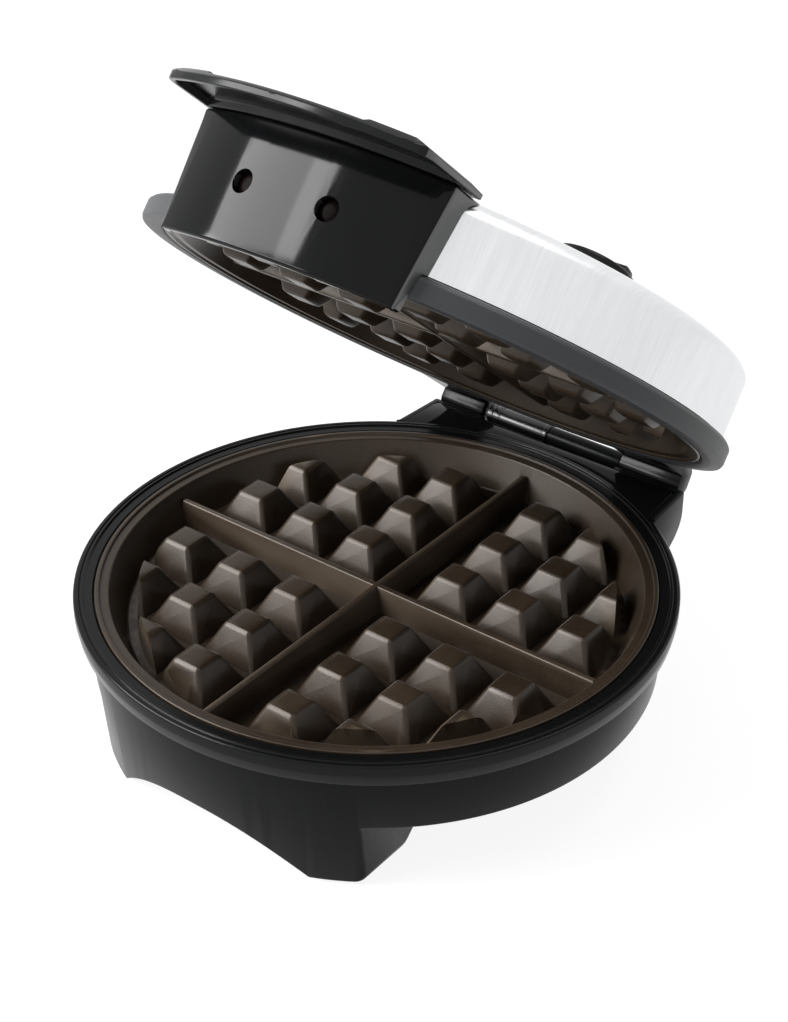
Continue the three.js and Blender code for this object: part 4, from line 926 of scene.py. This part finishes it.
class WAFFLE_OT_front_housing(bpy.types.Operator):
    """Curved gloss panel with its side walls and two lamp windows"""

    bl_idname = "waffle.front_housing"
    bl_label = "Front housing"

    def execute(self, context):
        box = box_core("front_panel", 0, 50.9, 90.5, 109.2)
        bevelled(box, 1.1, 4, 30)
        cut(box, box_core("Box room", 2.4, 48, 88.1, 106.8, -70))
        room = [(0, 40), (105, 40), (105, 56.2), (105, 62.6), (103.9, 63.9), (101.3, 64.4)]
        room += shell_line(0.3)
        cut(box, turned("Lid room", room))
        holes = []
        for side in (-1, 1):
            turn = Matrix.Translation((0, 0, 70.7 * MM)) @ Matrix.Rotation(side * math.radians(8.4), 4, "Z")
            hole = rod("Lamp hole", 3.7, "y", -112, -101, steps=48)
            funnel = turned("Funnel", rounded([(0, -1), (3.5, -1), (4.0, 0.2), (4.0, 2), (0, 2)], 2), 48)
            settle(funnel, Matrix.Translation((0, -0.1092, 0)) @ Matrix.Rotation(math.pi / 2, 4, "X"))
            holes += [settle(hole, turn), settle(funnel, turn)]
            lens = turned("lamp_lens_" + ("left" if side < 0 else "right"), rounded([
                (0, -6.9), (4.8, -6.9, 0.2), (4.8, -3.1, 0.2), (3.5, -3.1), (3.5, -2.5, 0.4), (2, -2.2, 2), (0, -2.1)
            ], 3), 48)
            settle(lens, turn @ Matrix.Translation((0, -0.1092, 0)) @ Matrix.Rotation(math.pi / 2, 4, "X"))
            name = "lamp_lens_left" if side < 0 else "lamp_lens_right"
            lens.name = lens.data.name = name.replace("lens", "window")
            finished(lens, "lid", "Lamp glass", "lamp_glass", name, opened=True)
        cut(box, *holes)
        finished(box, "lid", "Gloss plastic", "gloss_black", "front_housing", angle=30, opened=True)
        # Painted sheen: the panel's side walls get the lighter grey copy of the same plastic.
        paint_side_sheen(box, "Side painted sheen")
        return {"FINISHED"}


def lip_outline(half, corner, rear, reach=132.0, arc=108.0):
    """Plan of the cover: straight sides, rounded corners and a front on a wide arc."""
    centre = arc - reach
    edge = centre - math.sqrt(arc**2 - half**2)
    points = [(half, rear), (-half, rear), (-half, edge, corner)]
    flat = half - 10.5
    for i in range(41):
        x = flat * (i / 20 - 1)
        points.append((x, centre - math.sqrt(arc**2 - x**2)))
    return rounded(points + [(half, edge, corner)], 6)


class WAFFLE_OT_handle(bpy.types.Operator):
    """Handle cover with its lip, finger hollow and thumb rest"""

    bl_idname = "waffle.handle"
    bl_label = "Handle cover"

    def execute(self, context):
        low, top, wall = 90.8, 95.3, 2.2
        cover = pushed("handle_cover_moulding", lip_outline(49, 8, -86), "z", low, top)
        lip = rounded([(0, low - 1), (108.2, low - 1), (108, low + 2.2, 0.8), (105.3, top, 1.6), (0, top)], 4)
        keep_common(cover, turned("Lip", lip, 240, (0, -24)))
        side = rounded([(-133, low), (-133, top), (-114, top, 12), (-86, top - 2.6), (-86, low)], 5)
        keep_common(cover, pushed("Side", side, "x", -60, 60))
        across = rounded([(-49, low), (49, low), (49, top - 2.2, 1.2), (43, top, 6), (-43, top, 6), (-49, top - 2.2, 1.2)], 5)
        keep_common(cover, pushed("Across", across, "y", -140, -80))
        rest = rounded([(-28.5, top - 1, 0.8), (28.5, top - 1, 0.8), (31, top + 2), (-31, top + 2)], 3)
        cut(cover, pushed("Thumb rest", rest, "y", -140, -106))
        hollow = pushed("Hollow", lip_outline(49 - wall, 6, -80, 132 - wall, 108 - wall), "z", low - 6, low + 2.3)
        front = [(0, 40), (109.5, 40), (109.5, low), (110.2, low + 2.6), (0, low + 2.6)]
        cut(hollow, turned("Box front", front, 240))
        cut(cover, hollow, turned("Crown room", [(0, 40)] + shell_line(0.3)))
        bevelled(cover, 0.45, 3, 40, 0.05)
        finished(cover, "lid", "Handle plastic", "satin_black", "handle_cover", angle=35, opened=True)
        # Painted sheen: the cover's side walls get the lighter grey copy of the same plastic.
        paint_side_sheen(cover, "Side painted sheen")
        return {"FINISHED"}


def dial_frame():
    """From the dial's own upright axis to its place on the closed lid."""
    y = 80.5
    tilt = math.atan(2 * CROWN_RISE * y / CROWN_RADIUS**2)
    return Matrix.Translation(Vector((0, y, crown_height(y))) * MM) @ Matrix.Rotation(-tilt, 4, "X")


class WAFFLE_OT_dial(bpy.types.Operator):
    """Control dial in its bezel"""

    bl_idname = "waffle.dial"
    bl_label = "Control dial"

    def execute(self, context):
        bezel = turned("dial_collar", rounded([
            (5, -5), (19, -5), (19, 0.3), (18.2, 10.4, 0.5), (18, 11, 0.4), (16.7, 11, 0.2), (16.7, 1.5), (5, 1.5)
        ], 3), 96)
        crown = turned("Crown", [(0, 40)] + shell_line(0.3))
        settle(bezel, dial_frame())
        cut(bezel, crown)
        finished(bezel, "lid", "Handle plastic", "satin_black", "dial_bezel", opened=True)
        dial = turned("dial_knob", rounded([
            (0, 1.8), (16.4, 1.8, 0.3), (16.4, 11.6, 0.3), (16.1, 11.9, 0.2), (16.1, 12.3, 0.2), (16.4, 12.6, 0.3),
            (16.3, 24, 1.4), (8, 24.9, 4), (0, 25.2),
        ], 4), 96)
        grip = pushed("Grip", rounded([(-4, 22.6), (4, 22.6), (2.6, 26.5, 1), (-2.6, 26.5, 1)], 4), "x", -14.8, 14.8)
        keep_common(grip, turned("Grip limit", rounded([(0, 20), (14.8, 20), (14.8, 26.6, 2), (0, 26.6)], 4), 96))
        bevelled(grip, 0.4, 2, 40)
        mark = pushed("Mark", rounded([(-0.6, 5), (0.6, 5), (0.6, 13.8, 0.5), (-0.6, 13.8, 0.5)], 3), "z", 23.8, 25.0)
        gather(dial, grip, mark)
        cut(dial, rod("Socket", 3.3, "z", 0, 9.1, steps=24))
        settle(dial, dial_frame())
        finished(dial, "dial", "Handle plastic", "satin_black", "control_dial", opened=True)
        return {"FINISHED"}


# ---------------------------------------------------------------- stage


def seen_white(tree, strength):
    """1 for a ray from the camera, a mirror or through glass, and strength for all others."""
    path = tree.nodes.new("ShaderNodeLightPath")
    seen = maths(tree, "MAXIMUM", path.outputs["Is Camera Ray"], path.outputs["Is Glossy Ray"])
    seen = maths(tree, "MAXIMUM", seen, path.outputs["Is Transmission Ray"])
    return spread(tree, seen, 0.0, 1.0, strength, 1.0), seen


def towards(azimuth, elevation):
    """Direction seen from the object: azimuth from its front to its right, in degrees."""
    a, e = math.radians(azimuth), math.radians(elevation)
    return Vector((math.sin(a) * math.cos(e), -math.cos(a) * math.cos(e), math.sin(e)))


def softbox(name, aim, first, last, distance, height, power):
    """A softbox whose two ends stand in the directions first and last from the point it lights."""
    ends = [towards(*first), towards(*last)]
    back = (ends[0] + ends[1]).normalized()
    right = (ends[1] - ends[0]).normalized()
    light = bpy.data.lights.new(name, "AREA")
    light.shape, light.energy = "RECTANGLE", power
    light.size = 2 * distance * math.tan(ends[0].angle(ends[1]) / 2)
    light.size_y = height
    lamp = bpy.data.objects.new(name, light)
    turn = Matrix((right, back.cross(right), back)).transposed()
    lamp.matrix_world = Matrix.Translation(Vector(aim) + back * distance) @ turn.to_4x4()
    bpy.context.scene.collection.objects.link(lamp)
    return lamp


class WAFFLE_OT_stage(bpy.types.Operator):
    """Floor, soft lights, white surroundings and the camera"""

    bl_idname = "waffle.stage"
    bl_label = "Stage"

    def execute(self, context):
        scene = context.scene
        settings = scene.waffle_maker_stage
        deselect_all()
        bpy.ops.mesh.primitive_plane_add(size=12, location=(0, 0, -0.0002))
        floor = context.object
        floor.name = "Floor"
        made, tree, shader, place = new_material("Pale floor")
        shader.inputs["Base Color"].default_value = (0.9, 0.9, 0.9, 1)
        shader.inputs["Roughness"].default_value = 0.9
        shader.inputs["Specular IOR Level"].default_value = 0.1
        glow = tree.nodes.new("ShaderNodeEmission")
        mix = tree.nodes.new("ShaderNodeMixShader")
        strength, seen = seen_white(tree, 0.0)
        tree.links.new(maths(tree, "MULTIPLY", seen, 0.8), mix.inputs[0])
        tree.links.new(shader.outputs[0], mix.inputs[1])
        tree.links.new(glow.outputs[0], mix.inputs[2])
        out = next(n for n in tree.nodes if n.type == "OUTPUT_MATERIAL")
        tree.links.new(mix.outputs[0], out.inputs["Surface"])
        glow.inputs["Strength"].default_value = 1.12
        floor.data.materials.append(made)

        world = bpy.data.worlds.new("Surroundings")
        world.use_nodes = True
        background = next(n for n in world.node_tree.nodes if n.type == "BACKGROUND")
        background.inputs["Color"].default_value = (1, 1, 1, 1)
        strength, seen = seen_white(world.node_tree, settings.sky)
        world.node_tree.links.new(strength, background.inputs["Strength"])
        scene.world = world

        panel = (-0.003, -0.045, 0.21)
        softbox("Key softbox", panel, (-71.5, 25), (-30, 45), 1.0, 0.42, settings.key_power)
        softbox("Key strip", panel, (-41, 41), (-31, 44.6), 0.99, 0.42, settings.key_power * 0.12)
        softbox("Low strip", panel, (-64, 12), (-18, 24), 0.95, 0.2, settings.key_power * 0.6)
        softbox("Top light", (0, 0, 0.05), (120, 62), (-160, 62), 1.1, 0.5, settings.fill_power)

        camera = bpy.data.cameras.new("Camera")
        camera.sensor_width = 36
        camera.lens = settings.lens / MM
        camera.clip_start = 0.02
        holder = bpy.data.objects.new("Camera", camera)
        right = Vector((0.793336, 0.608781, 0.001822)).normalized()
        up = Vector((-0.331376, 0.429319, 0.840164)).normalized()
        back = right.cross(up).normalized()
        up = back.cross(right)
        turn = Matrix((right, up, back)).transposed()
        holder.matrix_world = Matrix.Translation((0.366908, -0.469696, 0.465509)) @ turn.to_4x4()
        scene.collection.objects.link(holder)
        scene.camera = holder
        scene.view_settings.view_transform = "Standard"
        return {"FINISHED"}


# ---------------------------------------------------------------- add-on


class WAFFLE_PT_panel(bpy.types.Panel):
    """Lists the pieces of the waffle maker"""

    bl_label = "Waffle Maker"
    bl_idname = "WAFFLE_PT_panel"
    bl_space_type = "VIEW_3D"
    bl_region_type = "UI"
    bl_category = "Waffle Maker"

    def draw(self, context):
        for settings in ("waffle_maker_sizes", "waffle_maker_colours", "waffle_maker_stage"):
            box = self.layout.box()
            group = getattr(context.scene, settings)
            for key in group.__annotations__:
                box.prop(group, key)
        for operator in OPERATORS:
            self.layout.operator(operator.bl_idname)


OPERATORS = (
    WAFFLE_OT_materials,
    WAFFLE_OT_housing,
    WAFFLE_OT_rim,
    WAFFLE_OT_plates,
    WAFFLE_OT_lid_ring,
    WAFFLE_OT_lid_shell,
    WAFFLE_OT_front_housing,
    WAFFLE_OT_handle,
    WAFFLE_OT_dial,
    WAFFLE_OT_stage,
)
SETTINGS = (
    ("waffle_maker_sizes", WaffleMakerSizes),
    ("waffle_maker_colours", WaffleMakerColours),
    ("waffle_maker_stage", WaffleMakerStage),
)


def register():
    for name, group in SETTINGS:
        bpy.utils.register_class(group)
        setattr(bpy.types.Scene, name, PointerProperty(type=group))
    for operator in OPERATORS:
        bpy.utils.register_class(operator)
    bpy.utils.register_class(WAFFLE_PT_panel)


def unregister():
    bpy.utils.unregister_class(WAFFLE_PT_panel)
    for operator in reversed(OPERATORS):
        bpy.utils.unregister_class(operator)
    for name, group in reversed(SETTINGS):
        delattr(bpy.types.Scene, name)
        bpy.utils.unregister_class(group)


def main():
    register()
    for operator in OPERATORS:
        family, name = operator.bl_idname.split(".")
        getattr(getattr(bpy.ops, family), name)()
    deselect_all()


if __name__ == "__main__":
    main()
